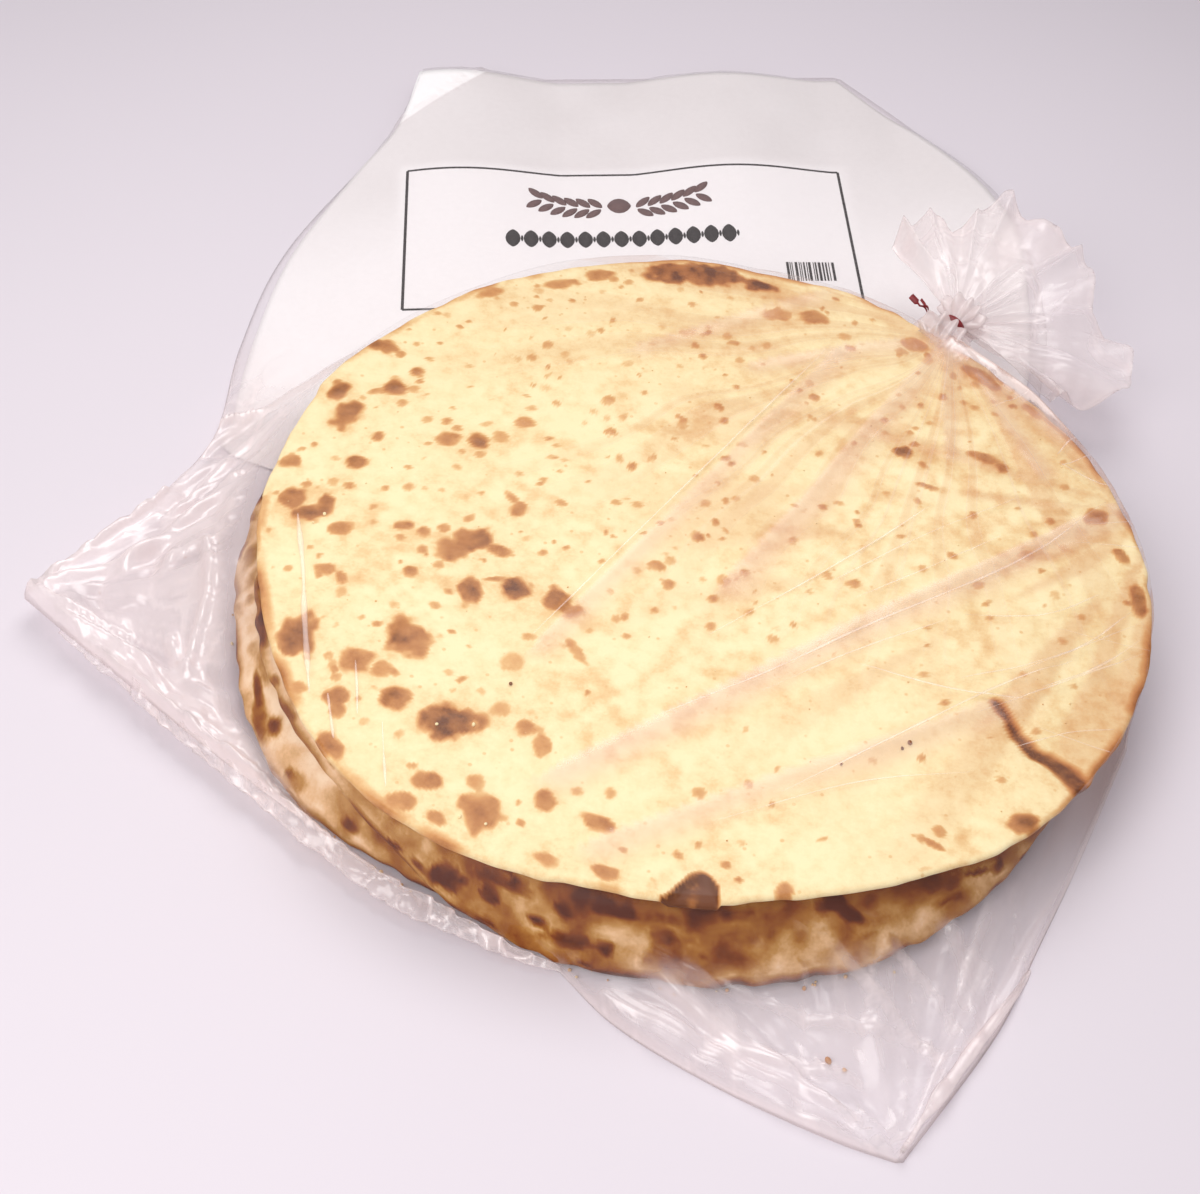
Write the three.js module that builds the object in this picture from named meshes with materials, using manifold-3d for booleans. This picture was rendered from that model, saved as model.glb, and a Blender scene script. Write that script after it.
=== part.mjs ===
// A clear sealed bag of round lavash crackerbreads, lying flat with its label sheet behind the stack.
// Millimetres, +Z up. The origin is on the flat underside, below the middle of the stack.
import * as THREE from 'three';
import Module from 'manifold-3d';

// The stack of breads that fills the bag
const BREAD_RADIUS = 190;
const STACK_HEIGHT = 42;
const RIM_ROUND = 9;
const RIM_DROP = 3;
const CROWN = 1.5;
const RIM_WAVE = 2;

// The film beside the stack
const FILM_EDGE = 3;
const RING_CROWDING = 1.4;
const SIDE_GAP = 7;
const BACK_FALL = 36;
const EAR_FALL = 74;
const FALL_SHARE = 0.78;
const FALL_CURVE = 1.5;

// The left ear and the front left seam stand a little clear of the table
const SEAM_LIFT = 11;
const SEAM_LIFT_MIDDLE = THREE.MathUtils.degToRad(-158);
const SEAM_LIFT_SPREAD = THREE.MathUtils.degToRad(56);

// Low pleats that fan out over the ears and the flat back part
const PLEAT_HEIGHT = 1.6;
const PLEAT_COUNT = 34;

// The gathered neck and the ruffle of loose film beyond the tie
const NECK_AZIMUTH = THREE.MathUtils.degToRad(55);
const NECK_DISTANCE = BREAD_RADIUS + 10;
const NECK_HEIGHT = 38;
const NECK_LEAN = 0.12;
const WAIST_RADIUS = 5.5;
const WAIST_LENGTH = 7;
const COLLAR_RADIUS = 13;
const COLLAR_LENGTH = 14;
const FLARE_RADIUS = 7;
const NECK_SIDES = 18;

const RUFFLE_FROM = THREE.MathUtils.degToRad(-26);
const RUFFLE_TO = THREE.MathUtils.degToRad(110);
const RUFFLE_REACH = 87;
const RUFFLE_START = 0.02;
const RUFFLE_LOBE = 11;
const RUFFLE_LOBE_MIDDLE = THREE.MathUtils.degToRad(74);
const RUFFLE_RISE = 15;
const RUFFLE_SINK = 9;
const RUFFLE_PLEATS = 5;
const RUFFLE_UNEVEN = 0.9;
const RUFFLE_PLEAT_HEIGHT = 10;
const RUFFLE_THICKNESS = 3;

// The twist tie: a flat ribbon with a wire in it, once round the waist and twisted into two tails
const TIE_WIDTH = 4;
const TIE_THICKNESS = 0.9;
const TIE_CLEARANCE = 0.4;
const TAIL_WIDTH = 3.7;
const TAIL_LENGTH = 22;
const TIE_TWISTS = 2.5;

// How finely the surfaces are divided
const RAYS = 120;
const STACK_RINGS = [0.3, 0.6, 0.85];
const RIM_RINGS = 3;
const UNDER_RINGS = [0.35, 0.7, 1];
const FILM_RINGS = 9;
const RUFFLE_COLUMNS = 46;
const RUFFLE_ROWS = 7;
const TAIL_STEPS = 30;

const smooth = THREE.MathUtils.smoothstep;
const lerp = THREE.MathUtils.lerp;

// Turns an angle into the range -PI to PI
function turnDifference(angle) {
  return Math.atan2(Math.sin(angle), Math.cos(angle));
}

// The bag's outline on the table: two pointed ears, the flat back part and the tight right side
function bagOutline() {
  const at = (x, y) => new THREE.Vector2(x, y);
  const frontEarTip = at(86, -259);
  const leftEarTip = at(-283, -46);
  const sheetLeft = at(-173, 386);
  const sheetRight = at(67, 434);
  const hug = BREAD_RADIUS + SIDE_GAP;

  const path = new THREE.Path();
  path.moveTo(frontEarTip.x, frontEarTip.y);
  path.splineThru([at(123, -203), at(141, -164), at(161, -120), at(187, -58)]);
  path.splineThru([at(hug, 4), at(188, 64), at(168, 118), at(166, 160)]);
  path.splineThru([at(174, 215), at(170, 280), at(156, 326), at(113, 384), sheetRight]);
  path.lineTo(sheetLeft.x, sheetLeft.y);
  path.splineThru([at(-180, 329), at(-213, 223), at(-228, 133), at(-226, 69), at(-241, 16)]);
  path.lineTo(leftEarTip.x, leftEarTip.y);
  path.splineThru([at(-237, -81), at(-161, -136), at(-98, -173), at(-41, -195)]);
  path.splineThru([at(-18, -216), at(19, -236), at(60, -252), frontEarTip]);
  return path.getPoints(16);
}

// Distance from the stack's axis to the outline, looking along an azimuth
function outlineReach(outline, azimuth) {
  const along = new THREE.Vector2(Math.cos(azimuth), Math.sin(azimuth));
  let reach = 0;
  outline.forEach((start, index) => {
    const end = outline[(index + 1) % outline.length];
    const edge = end.clone().sub(start);
    const slope = along.cross(edge);
    if (Math.abs(slope) < 1e-9) return;
    const share = start.cross(along) / slope;
    const distance = start.cross(edge) / slope;
    if (share >= 0 && share <= 1) reach = Math.max(reach, distance);
  });
  return reach;
}

// Distance from the stack's axis to the uneven rim of the breads
function rimReach(azimuth) {
  const waves = Math.sin(3 * azimuth + 0.6) + 0.6 * Math.sin(8 * azimuth + 2);
  return BREAD_RADIUS + RIM_WAVE * waves;
}

// Height of the film's underside: zero under the stack, lifted along the left seam
function undersideHeight(radius, azimuth, reach) {
  const away = Math.abs(turnDifference(azimuth - SEAM_LIFT_MIDDLE)) / SEAM_LIFT_SPREAD;
  const share = 1 - smooth(away, 0.35, 1);
  return SEAM_LIFT * share * smooth(radius, rimReach(azimuth), reach);
}

// Height of the film on top: over the stack, round its rim and down to the flat film beside it
function filmHeight(radius, azimuth, reach) {
  const underside = undersideHeight(radius, azimuth, reach);
  const rim = rimReach(azimuth);
  const crown = CROWN * (1 - (radius / rim) ** 2);
  const rimShare = THREE.MathUtils.clamp((radius - rim + RIM_ROUND) / RIM_ROUND, 0, 1);
  const overStack = STACK_HEIGHT + crown - RIM_DROP * rimShare ** 2;
  if (radius <= rim) return overStack;

  const back = smooth(Math.sin(azimuth), -0.1, 0.5);
  const longestFall = lerp(EAR_FALL, BACK_FALL, back);
  const fall = Math.min(FALL_SHARE * (reach - rim), longestFall);
  const share = Math.max(0, 1 - (radius - rim) / fall);
  const flatFilm = underside + FILM_EDGE;
  const outward = smooth(radius, rim + SIDE_GAP, rim + 3 * SIDE_GAP);
  const inward = 1 - smooth(radius, reach - 2 * SIDE_GAP, reach);
  const pleat = PLEAT_HEIGHT * outward * inward * (1 + Math.sin(PLEAT_COUNT * azimuth));
  return flatFilm + (overStack - flatFilm) * share ** FALL_CURVE + pleat;
}

// Closes rings of points, each set from the middle outwards, between one top point and one bottom point
function discSolid(topPoint, topRings, bottomPoint, bottomRings) {
  const points = [topPoint, bottomPoint];
  const faces = [];
  const count = topRings[0].length;
  const addRing = (ring) => points.push(...ring) - count;
  const joinRings = (inner, outer, upward) => {
    for (let i = 0; i < count; i += 1) {
      const j = (i + 1) % count;
      const first = [inner + i, outer + i, outer + j];
      const second = [inner + i, outer + j, inner + j];
      [first, second].forEach((face) => faces.push(upward ? face : face.reverse()));
    }
  };
  const capRing = (middle, ring, upward) => {
    for (let i = 0; i < count; i += 1) {
      const face = [middle, ring + i, ring + (i + 1) % count];
      faces.push(upward ? face : face.reverse());
    }
  };
  const topStarts = topRings.map(addRing);
  const bottomStarts = bottomRings.map(addRing);
  capRing(0, topStarts[0], true);
  capRing(1, bottomStarts[0], false);
  topStarts.slice(1).forEach((start, index) => joinRings(topStarts[index], start, true));
  bottomStarts.slice(1).forEach((start, index) => joinRings(bottomStarts[index], start, false));
  joinRings(topStarts.at(-1), bottomStarts.at(-1), true);
  return geometryOf(points, faces);
}

// Closes two matching grids of points, one above the other, into a thin sheet
function sheetSolid(upper, lower) {
  const columns = upper.length;
  const rows = upper[0].length;
  const points = [...upper.flat(), ...lower.flat()];
  const faces = [];
  const above = (column, row) => column * rows + row;
  const below = (column, row) => columns * rows + column * rows + row;
  const addQuad = (a, b, c, d) => faces.push([a, b, c], [a, c, d]);
  for (let c = 0; c < columns - 1; c += 1) {
    for (let r = 0; r < rows - 1; r += 1) {
      addQuad(above(c, r), above(c, r + 1), above(c + 1, r + 1), above(c + 1, r));
      addQuad(below(c, r), below(c + 1, r), below(c + 1, r + 1), below(c, r + 1));
    }
    addQuad(above(c, 0), above(c + 1, 0), below(c + 1, 0), below(c, 0));
    addQuad(above(c, rows - 1), below(c, rows - 1), below(c + 1, rows - 1), above(c + 1, rows - 1));
  }
  for (let r = 0; r < rows - 1; r += 1) {
    addQuad(above(0, r), below(0, r), below(0, r + 1), above(0, r + 1));
    const last = columns - 1;
    addQuad(above(last, r), above(last, r + 1), below(last, r + 1), below(last, r));
  }
  return geometryOf(points, faces);
}

// An indexed geometry from vectors and triples of indices
function geometryOf(points, faces) {
  const geometry = new THREE.BufferGeometry().setFromPoints(points);
  geometry.setIndex(faces.flat());
  return geometry;
}

// The filled bag without its neck
function bagBody() {
  const outline = bagOutline();
  const azimuths = Array.from({ length: RAYS }, (_, ray) => (2 * Math.PI * ray) / RAYS);
  const reaches = azimuths.map((azimuth) => outlineReach(outline, azimuth));
  const ring = (radiusOf, heightOf) => azimuths.map((azimuth, ray) => {
    const radius = radiusOf(rimReach(azimuth), reaches[ray]);
    const height = heightOf(radius, azimuth, reaches[ray]);
    return new THREE.Vector3(radius * Math.cos(azimuth), radius * Math.sin(azimuth), height);
  });

  const topRadii = STACK_RINGS.map((share) => (rim) => share * rim);
  for (let i = 0; i <= RIM_RINGS; i += 1) {
    topRadii.push((rim) => rim - RIM_ROUND * (1 - i / RIM_RINGS));
  }
  for (let i = 1; i <= FILM_RINGS; i += 1) {
    topRadii.push((rim, reach) => lerp(rim, reach, (i / FILM_RINGS) ** RING_CROWDING));
  }
  const bottomRadii = [(rim) => rim];
  UNDER_RINGS.forEach((share) => bottomRadii.push((rim, reach) => lerp(rim, reach, share)));

  const topRings = topRadii.map((radiusOf) => ring(radiusOf, filmHeight));
  const bottomRings = bottomRadii.map((radiusOf) => ring(radiusOf, undersideHeight));
  const top = new THREE.Vector3(0, 0, STACK_HEIGHT + CROWN);
  return discSolid(top, topRings, new THREE.Vector3(), bottomRings);
}

// A frame at the waist of the neck, its X axis pointing out of the bag along the neck
function neckFrame() {
  const out = new THREE.Vector3(Math.cos(NECK_AZIMUTH), Math.sin(NECK_AZIMUTH), NECK_LEAN).normalize();
  const side = new THREE.Vector3(-out.y, out.x, 0).normalize();
  const up = new THREE.Vector3().crossVectors(out, side);
  const frame = new THREE.Matrix4().makeBasis(out, side, up);
  const x = NECK_DISTANCE * Math.cos(NECK_AZIMUTH);
  const y = NECK_DISTANCE * Math.sin(NECK_AZIMUTH);
  return frame.setPosition(x, y, NECK_HEIGHT);
}

// The film drawn together under the tie, wider towards the bag and towards the ruffle
function neckBody() {
  const half = WAIST_LENGTH / 2;
  const end = half + COLLAR_LENGTH;
  const profile = [[0, -end], [COLLAR_RADIUS, -end], [WAIST_RADIUS, -half]];
  profile.push([WAIST_RADIUS, half], [FLARE_RADIUS, end], [0, end + FLARE_RADIUS]);
  const points = profile.map(([radius, along]) => new THREE.Vector2(radius, along));
  const neck = new THREE.LatheGeometry(points, NECK_SIDES);
  neck.rotateZ(-Math.PI / 2);
  return neck.applyMatrix4(neckFrame());
}

// Where the ruffle's sheet lies, by azimuth and by share of its reach
function rufflePoint(azimuth, share) {
  const root = new THREE.Vector3(WAIST_LENGTH / 2, 0, 0).applyMatrix4(neckFrame());
  const lobe = Math.cos(4 * (azimuth - RUFFLE_LOBE_MIDDLE));
  const reach = (RUFFLE_REACH + RUFFLE_LOBE * lobe) * share;
  const sideways = (azimuth - RUFFLE_LOBE_MIDDLE) / (RUFFLE_TO - RUFFLE_FROM);
  const rise = lerp(RUFFLE_RISE, -RUFFLE_SINK, Math.min(1, 2 * Math.abs(sideways)));
  const across = (azimuth - RUFFLE_FROM) / (RUFFLE_TO - RUFFLE_FROM);
  const phase = 2 * Math.PI * RUFFLE_PLEATS * across + RUFFLE_UNEVEN * Math.sin(9 * across);
  const pleat = RUFFLE_PLEAT_HEIGHT * share * Math.sin(phase);
  const x = root.x + reach * Math.cos(azimuth);
  const y = root.y + reach * Math.sin(azimuth);
  return new THREE.Vector3(x, y, root.z + rise * share + pleat);
}

function ruffleBody() {
  const half = new THREE.Vector3(0, 0, RUFFLE_THICKNESS / 2);
  const upper = [];
  const lower = [];
  for (let column = 0; column <= RUFFLE_COLUMNS; column += 1) {
    const azimuth = lerp(RUFFLE_FROM, RUFFLE_TO, column / RUFFLE_COLUMNS);
    const line = Array.from({ length: RUFFLE_ROWS + 1 }, (_, row) => {
      return rufflePoint(azimuth, lerp(RUFFLE_START, 1, row / RUFFLE_ROWS));
    });
    upper.push(line.map((point) => point.clone().add(half)));
    lower.push(line.map((point) => point.clone().sub(half)));
  }
  return sheetSolid(upper, lower);
}

// A flat ribbon swept along points, its width turned by an angle at each
function ribbonSolid(places, widthways, flatways) {
  const corner = (index, wide, flat) => places[index].clone()
    .addScaledVector(widthways[index], (wide * TAIL_WIDTH) / 2)
    .addScaledVector(flatways[index], (flat * TIE_THICKNESS) / 2);
  const upper = places.map((_, index) => [corner(index, -1, 1), corner(index, 1, 1)]);
  const lower = places.map((_, index) => [corner(index, -1, -1), corner(index, 1, -1)]);
  return sheetSolid(upper, lower);
}

// The ribbon once round the waist
function tieLoop() {
  const inner = WAIST_RADIUS + TIE_CLEARANCE;
  const outer = inner + TIE_THICKNESS;
  const half = TIE_WIDTH / 2;
  const profile = [[inner, -half], [outer, -half], [outer, half], [inner, half], [inner, -half]];
  const points = profile.map(([radius, along]) => new THREE.Vector2(radius, along));
  return new THREE.LatheGeometry(points, NECK_SIDES).rotateZ(-Math.PI / 2);
}

// The two tails twisted together: one ribbon that turns about its own line
function tieTails() {
  const start = WAIST_RADIUS + TIE_CLEARANCE + TIE_THICKNESS / 2;
  const places = [];
  const flatways = [];
  const widthways = [];
  for (let step = 0; step <= TAIL_STEPS; step += 1) {
    const share = step / TAIL_STEPS;
    const turn = share * TIE_TWISTS * 2 * Math.PI;
    places.push(new THREE.Vector3(2 * share * share, start + TAIL_LENGTH * share, 5 * share));
    widthways.push(new THREE.Vector3(Math.cos(turn), 0, Math.sin(turn)));
    flatways.push(new THREE.Vector3(-Math.sin(turn), 0, Math.cos(turn)));
  }
  return ribbonSolid(places, widthways, flatways);
}

const wasm = await Module();
wasm.setup();

// A closed geometry as a solid that can be joined to others
function solidOf(geometry) {
  const merged = new wasm.Mesh({
    numProp: 3,
    vertProperties: new Float32Array(geometry.attributes.position.array),
    triVerts: new Uint32Array(geometry.index.array),
  });
  merged.merge();
  return new wasm.Manifold(merged);
}

function joined(geometries) {
  const whole = geometries.map(solidOf).reduce((sum, next) => sum.add(next));
  const mesh = whole.getMesh();
  const geometry = new THREE.BufferGeometry();
  geometry.setAttribute('position', new THREE.BufferAttribute(mesh.vertProperties, 3));
  geometry.setIndex(new THREE.BufferAttribute(mesh.triVerts, 1));
  return geometry;
}

function namedMesh(name, geometry, color, roughness) {
  const material = new THREE.MeshStandardMaterial({ color, roughness, metalness: 0 });
  geometry.computeVertexNormals();
  const mesh = new THREE.Mesh(geometry, material);
  mesh.name = name;
  return mesh;
}

const pack = new THREE.Group();
pack.add(namedMesh('bag', joined([bagBody(), neckBody(), ruffleBody()]), 0xeee3c4, 0.3));

const tie = joined([tieLoop(), tieTails()]).applyMatrix4(neckFrame());
pack.add(namedMesh('twist_tie', tie, 0xa3202c, 0.45));

export default pack;
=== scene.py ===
import collections
import math

import bpy
import numpy as np
from mathutils import Matrix, Vector


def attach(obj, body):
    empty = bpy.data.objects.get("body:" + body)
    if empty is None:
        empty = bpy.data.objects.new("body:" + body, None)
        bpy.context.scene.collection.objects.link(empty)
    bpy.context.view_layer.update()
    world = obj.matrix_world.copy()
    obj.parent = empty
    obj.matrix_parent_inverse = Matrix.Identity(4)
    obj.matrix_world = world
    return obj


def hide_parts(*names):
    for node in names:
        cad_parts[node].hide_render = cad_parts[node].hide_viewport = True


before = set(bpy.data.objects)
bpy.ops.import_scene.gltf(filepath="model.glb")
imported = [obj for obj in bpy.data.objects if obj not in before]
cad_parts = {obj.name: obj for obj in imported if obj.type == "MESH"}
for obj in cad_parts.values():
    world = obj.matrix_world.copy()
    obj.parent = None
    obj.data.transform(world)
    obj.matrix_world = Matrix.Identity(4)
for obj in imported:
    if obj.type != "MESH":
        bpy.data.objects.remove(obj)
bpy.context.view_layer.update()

# Sizes and places are in millimetres until a mesh is made, and angles are written in degrees
MM = 0.001

# The breads
BREAD_RADIUS = 190
BREAD_PITCH = 8.4
STACK_TOP = 41.6
RIM_WAVE = 1.6
COMMON_WAVE = 0.7
OWN_WAVE = 0.4
FLUTTER = 1.5
BLISTER_HEIGHT = 0.9

# The top bread's uneven rim: azimuth and distance from its middle
TOP_RIM = [
    (-180, 188), (-168, 187), (-152, 189), (-141, 192), (-130, 195), (-119, 193), (-108, 188), (-99, 185),
    (-89, 184), (-76, 183), (-65, 185), (-54, 189), (-46, 191), (-31, 191), (-13, 192), (1, 192), (21, 190),
    (42, 188), (55, 187), (70, 190), (84, 189), (95, 193), (113, 193), (128, 190), (155, 190), (170, 187),
]

# How the breads' front margins hang down, or stand back where below zero: azimuth, length and angle
NO_HANG = [(0, 0, 0)]
SECOND_HANG = [
    (-168, 0, 0), (-152, 2, 26), (-138, 5, 46), (-124, 12, 60), (-108, 24, 70), (-96, 28, 63), (-84, 30, 56),
    (-70, 29, 55), (-56, 24, 56), (-42, 17, 58), (-28, 6, 45), (-14, 0, 0),
]
THIRD_HANG = [
    (-178, 0, 0), (-164, 6, 38), (-152, 15, 46), (-138, 19, 52), (-126, 18, 64), (-112, 15, 78),
    (-96, 12, 70), (-84, 10, 62), (-56, 8, 60), (-42, 6, 62), (-28, 2, 50), (-14, 0, 0),
]
STAND_BACK = [(-172, 0, 0), (-158, -6, 0), (-140, -13, 0), (-42, -13, 0), (-25, -4, 0), (-10, 0, 0)]
HANG_BEND = 9

# The breads from the top down
Bread = collections.namedtuple("Bread", "name shift radius level thickness rim scorch hang phase seed")
BREADS = [
    Bread("bread_top", (0, 0), BREAD_RADIUS, 0, 4.8, 3.0, 0, NO_HANG, 0.6, 11),
    Bread("bread_second", (-6, 0), BREAD_RADIUS - 7, 1, 6.2, 3.4, 1.0, SECOND_HANG, 2.1, 23),
    Bread("bread_third", (-9, 1), BREAD_RADIUS - 6, 2, 6.2, 3.4, 0.9, THIRD_HANG, 3.7, 37),
    Bread("bread_fourth", (-4, 0), BREAD_RADIUS, 3, 7.0, 5.0, 0.8, STAND_BACK, 5.2, 41),
    Bread("bread_bottom", (-3, 0), BREAD_RADIUS, 4, 6.6, 5.0, 0.7, STAND_BACK, 0.9, 53),
]
TOP_BREAD = BREADS[0]

# Scorched patches on the second bread's front margin before it bends: place, width, depth, turn, brown
FRONT_PATCHES = [
    (-83, -174, 24, 13, -25, 1.1), (-65, -180, 13, 12, -20, 1.0), (-62, -174, 30, 8, -18, 1.0),
    (-34, -184, 20, 10, -10, 1.0), (-17, -182, 40, 9, -5, 1.05), (-35, -196, 30, 9, -10, 1.0),
    (-20, -198, 9, 8, 0, 0.95), (4, -200, 24, 16, 0, 0.78), (-71, -192, 14, 8, -20, 0.95),
    (27, -188, 40, 18, 8, 0.7), (12, -174, 32, 24, 5, 0.82), (27, -180, 20, 7, 8, 0.9),
    (70, -173, 24, 8, -24, 1.05), (105, -155, 40, 10, 31, 0.95), (132, -141, 10, 11, 45, 0.95),
]

# The top bread's main blisters: place, width, depth, turn, and how brown from 0 to 1
BLISTERS = [
    (-160, -76, 19, 24, 0, 0.80), (-116, -73, 18, 21, 20, 0.80), (-134, -88, 14, 13, 0, 0.70),
    (-123, -91, 9, 8, 0, 0.58), (-155, -105, 9, 8, 0, 0.55), (-138, -106, 11, 11, 0, 0.75),
    (-137, -114, 6, 9, 0, 0.68), (-115, -106, 13, 13, 0, 0.80), (-93, -114, 26, 18, 0, 0.95),
    (-138, -132, 11, 15, 30, 0.78), (-98, -143, 12, 9, -20, 0.82), (-81, -141, 9, 8, 0, 0.52),
    (-106, -154, 12, 9, -15, 0.66), (-93, -160, 10, 8, 0, 0.66), (-77, -155, 18, 18, 0, 0.76),
    (-53, -146, 10, 9, 0, 0.70), (-64, -113, 9, 8, 0, 0.62), (-57, -121, 7, 11, 20, 0.62),
    (-105, -23, 15, 15, 0, 0.76), (-96, -14, 15, 13, 20, 0.86), (-84, -19, 11, 7, -15, 0.74),
    (-94, -44, 9, 17, 0, 0.86), (-75, -40, 14, 15, 0, 0.92), (-85, -36, 13, 3, 10, 0.60),
    (-58, -44, 14, 15, 0, 0.84), (-51, -50, 8, 7, 40, 0.62), (-79, 6, 7, 9, 0, 0.70),
    (-83, 13, 4, 11, 40, 0.56), (-126, -11, 10, 7, 10, 0.72), (-117, -13, 7, 7, 0, 0.72),
    (-120, -37, 7, 7, 0, 0.70), (-114, 45, 10, 9, 0, 0.66), (-101, 46, 9, 9, 0, 0.76),
    (-92, 50, 7, 7, 0, 0.45), (-82, 60, 8, 8, 0, 0.60), (-166, 68, 10, 16, -20, 0.78),
    (-161, 54, 14, 19, 0, 0.82), (-142, 75, 10, 9, 0, 0.80), (-150, 71, 9, 5, 20, 0.52),
    (-152, 103, 14, 9, -25, 0.78), (-134, 87, 7, 7, 0, 0.76), (-152, 25, 9, 10, 0, 0.86),
    (-145, 42, 6, 7, 0, 0.76), (-181, 22, 12, 8, 0, 0.70), (-175, 0, 12, 13, 30, 0.74),
    (-167, -9, 13, 12, 0, 0.86), (-160, -3, 9, 14, 0, 0.80), (-152, -16, 10, 7, 0, 0.66),
    (-154, -40, 9, 6, -20, 0.64), (-147, -45, 5, 9, 30, 0.60), (-72, -80, 9, 10, 0, 0.42),
    (-47, -72, 4, 17, 35, 0.55), (-75, -105, 9, 7, 0, 0.40), (88, 67, 10, 8, 0, 0.90),
    (97, 60, 7, 5, -30, 0.55), (125, 69, 17, 7, -15, 0.66), (132, 64, 6, 6, 0, 0.74),
    (98, 46, 13, 4, -15, 0.60), (30, 156, 13, 10, 0, 0.58), (47, 156, 15, 12, 0, 0.68),
    (65, -18, 7, 6, 0, 0.58), (-2, 1, 6, 6, 0, 0.60), (-18, -19, 7, 6, 0, 0.60),
    (-13, -29, 6, 6, 0, 0.55), (6, -35, 6, 5, 0, 0.60), (10, -24, 6, 6, 0, 0.45),
    (96, 145, 13, 9, -20, 0.62), (-31, -154, 15, 7, -15, 0.76), (-28, -176, 13, 6, -25, 0.68),
    (-50, -173, 12, 7, -25, 0.66), (38, -177, 8, 10, 0, 0.74), (130, -134, 13, 13, 0, 0.82),
    (94, -148, 12, 3, -30, 0.58), (186, -11, 7, 24, 0, 0.80), (173, 39, 12, 11, 0, 0.70),
    (181, 16, 6, 12, 15, 0.76), (127, 127, 22, 9, -45, 0.62), (150, 106, 13, 6, -50, 0.52),
    (-75, 164, 21, 8, 20, 0.62), (-57, 174, 15, 9, 15, 0.72), (-10, 181, 48, 16, 3, 0.92),
    (22, 177, 18, 9, -10, 0.95), (-108, 150, 15, 7, 35, 0.52), (140, 10, 10, 6, 20, 0.42),
]
SMALL_SPOTS = 400
SPOT_SEED = 5

# A fold baked into the top bread near its right rim, and a shallow hollow at the front of the rim, painted
# darkest brown: scorched crust and painted shade of the recess
CREASE = [(122, -75), (125, -80), (129, -90), (136, -98), (141, -101), (147, -105), (152, -111), (155, -119)]
CREASE_WIDTHS = (5.4, 10)
CREASE_DEPTH = 1.1
HOLLOW_AZIMUTH = math.radians(-87.6)
HOLLOW_LEFT = 17
HOLLOW_RIGHT = 8
HOLLOW_REACH = 13
HOLLOW_DROP = 3.2

# The film bag's outline on the table, counter-clockwise in smooth stretches
FRONT_EAR_TIP = (86, -259)
LEFT_EAR_TIP = (-283, -46)
SHEET_CORNER_LEFT = (-173, 386)
SHEET_CORNER_RIGHT = (67, 434)
OUTLINE_STRETCHES = [
    [FRONT_EAR_TIP, (123, -203), (141, -164), (161, -120), (187, -58)],
    [(187, -58), (197, 4), (188, 64), (168, 118), (166, 160)],
    [(166, 160), (174, 215), (170, 280), (156, 326), (113, 384), SHEET_CORNER_RIGHT],
    [SHEET_CORNER_RIGHT, SHEET_CORNER_LEFT],
    [SHEET_CORNER_LEFT, (-182, 329), (-219, 220), (-228, 140), (-226, 69), (-241, 16)],
    [(-241, 16), LEFT_EAR_TIP],
    [LEFT_EAR_TIP, (-237, -81), (-161, -136), (-98, -173), (-41, -195)],
    [(-41, -195), (-18, -216), (19, -236), (60, -252), FRONT_EAR_TIP],
]

# How the film hangs from the stack
FILM_OVER = 1
FILM_GAP = 1.2
BACK_FALL = 36
EAR_FALL = 74
FALL_SHARE = 0.78
FALL_CURVE = 1.5
COVER_SLOPE = 2.5
SEAM_LIFT = 11
SEAM_LIFT_MIDDLE = math.radians(-158)
SEAM_LIFT_SPREAD = math.radians(56)
SEAM_WIDTH = 10
NECK_FOOT = (110, 152)
SIDE_PULL = (200, 40)
# Share of milky scatter in tight film on top, and in the film underneath
CLEAR_HAZE = 0.012
UNDER_HAZE = 0.02

# Broad folds of the film: height, half width, haze and the line each follows
FilmFold = collections.namedtuple("FilmFold", "height half haze line")
SIDE_FOLDS = [
    FilmFold(5.0, 4, 0.22, [(-152, 119), (-190, 96), (-224, 72)]),
    FilmFold(1.0, 2, 0.18, [(-181, 328), (-158, 361), (-135, 394)]),
    FilmFold(5.0, 6, 0.34, [(-242, -27), (-225, -1), (-207, 27)]),
    FilmFold(3.5, 5, 0.34, [(-231, 3), (-221, 24), (-213, 44)]),
    FilmFold(3.0, 6, 0.20, [(-226, -32), (-221, -20), (-211, -19)]),
    FilmFold(3.0, 4, 0.20, [(-282, -46), (-274, -33), (-249, -3), (-236, 18)]),
    FilmFold(4.5, 4, 0.26, [(-208, -23), (-203, -40), (-202, -54), (-205, -81)]),
    FilmFold(3.0, 4, 0.26, [(-214, -67), (-209, -79), (-201, -83)]),
    FilmFold(3.0, 3, 0.24, [(-278, -48), (-255, -56), (-232, -65)]),
    FilmFold(2.5, 3, 0.24, [(-263, -59), (-240, -67), (-226, -73), (-212, -90)]),
    FilmFold(2.5, 5, 0.30, [(-240, -80), (-228, -86)]),
    FilmFold(2.5, 6, 0.34, [(-222, -91), (-209, -101)]),
    FilmFold(2.5, 5, 0.30, [(-200, -110), (-190, -119)]),
    FilmFold(2.0, 5, 0.24, [(-180, -121), (-170, -127)]),
    FilmFold(2.2, 3, 0.24, [(36, -181), (59, -193), (99, -218)]),
    FilmFold(2.0, 3, 0.20, [(69, -180), (94, -193), (112, -211)]),
    FilmFold(2.0, 4, 0.16, [(96, -170), (109, -182), (115, -209)]),
    FilmFold(2.2, 4, 0.26, [(-38, -196), (-24, -194), (-7, -202), (12, -215), (27, -225), (67, -231)]),
    FilmFold(1.8, 3, 0.16, [(-11, -198), (49, -213), (98, -215)]),
    FilmFold(1.6, 3, 0.14, [(-24, -206), (30, -230), (79, -248)]),
]
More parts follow.
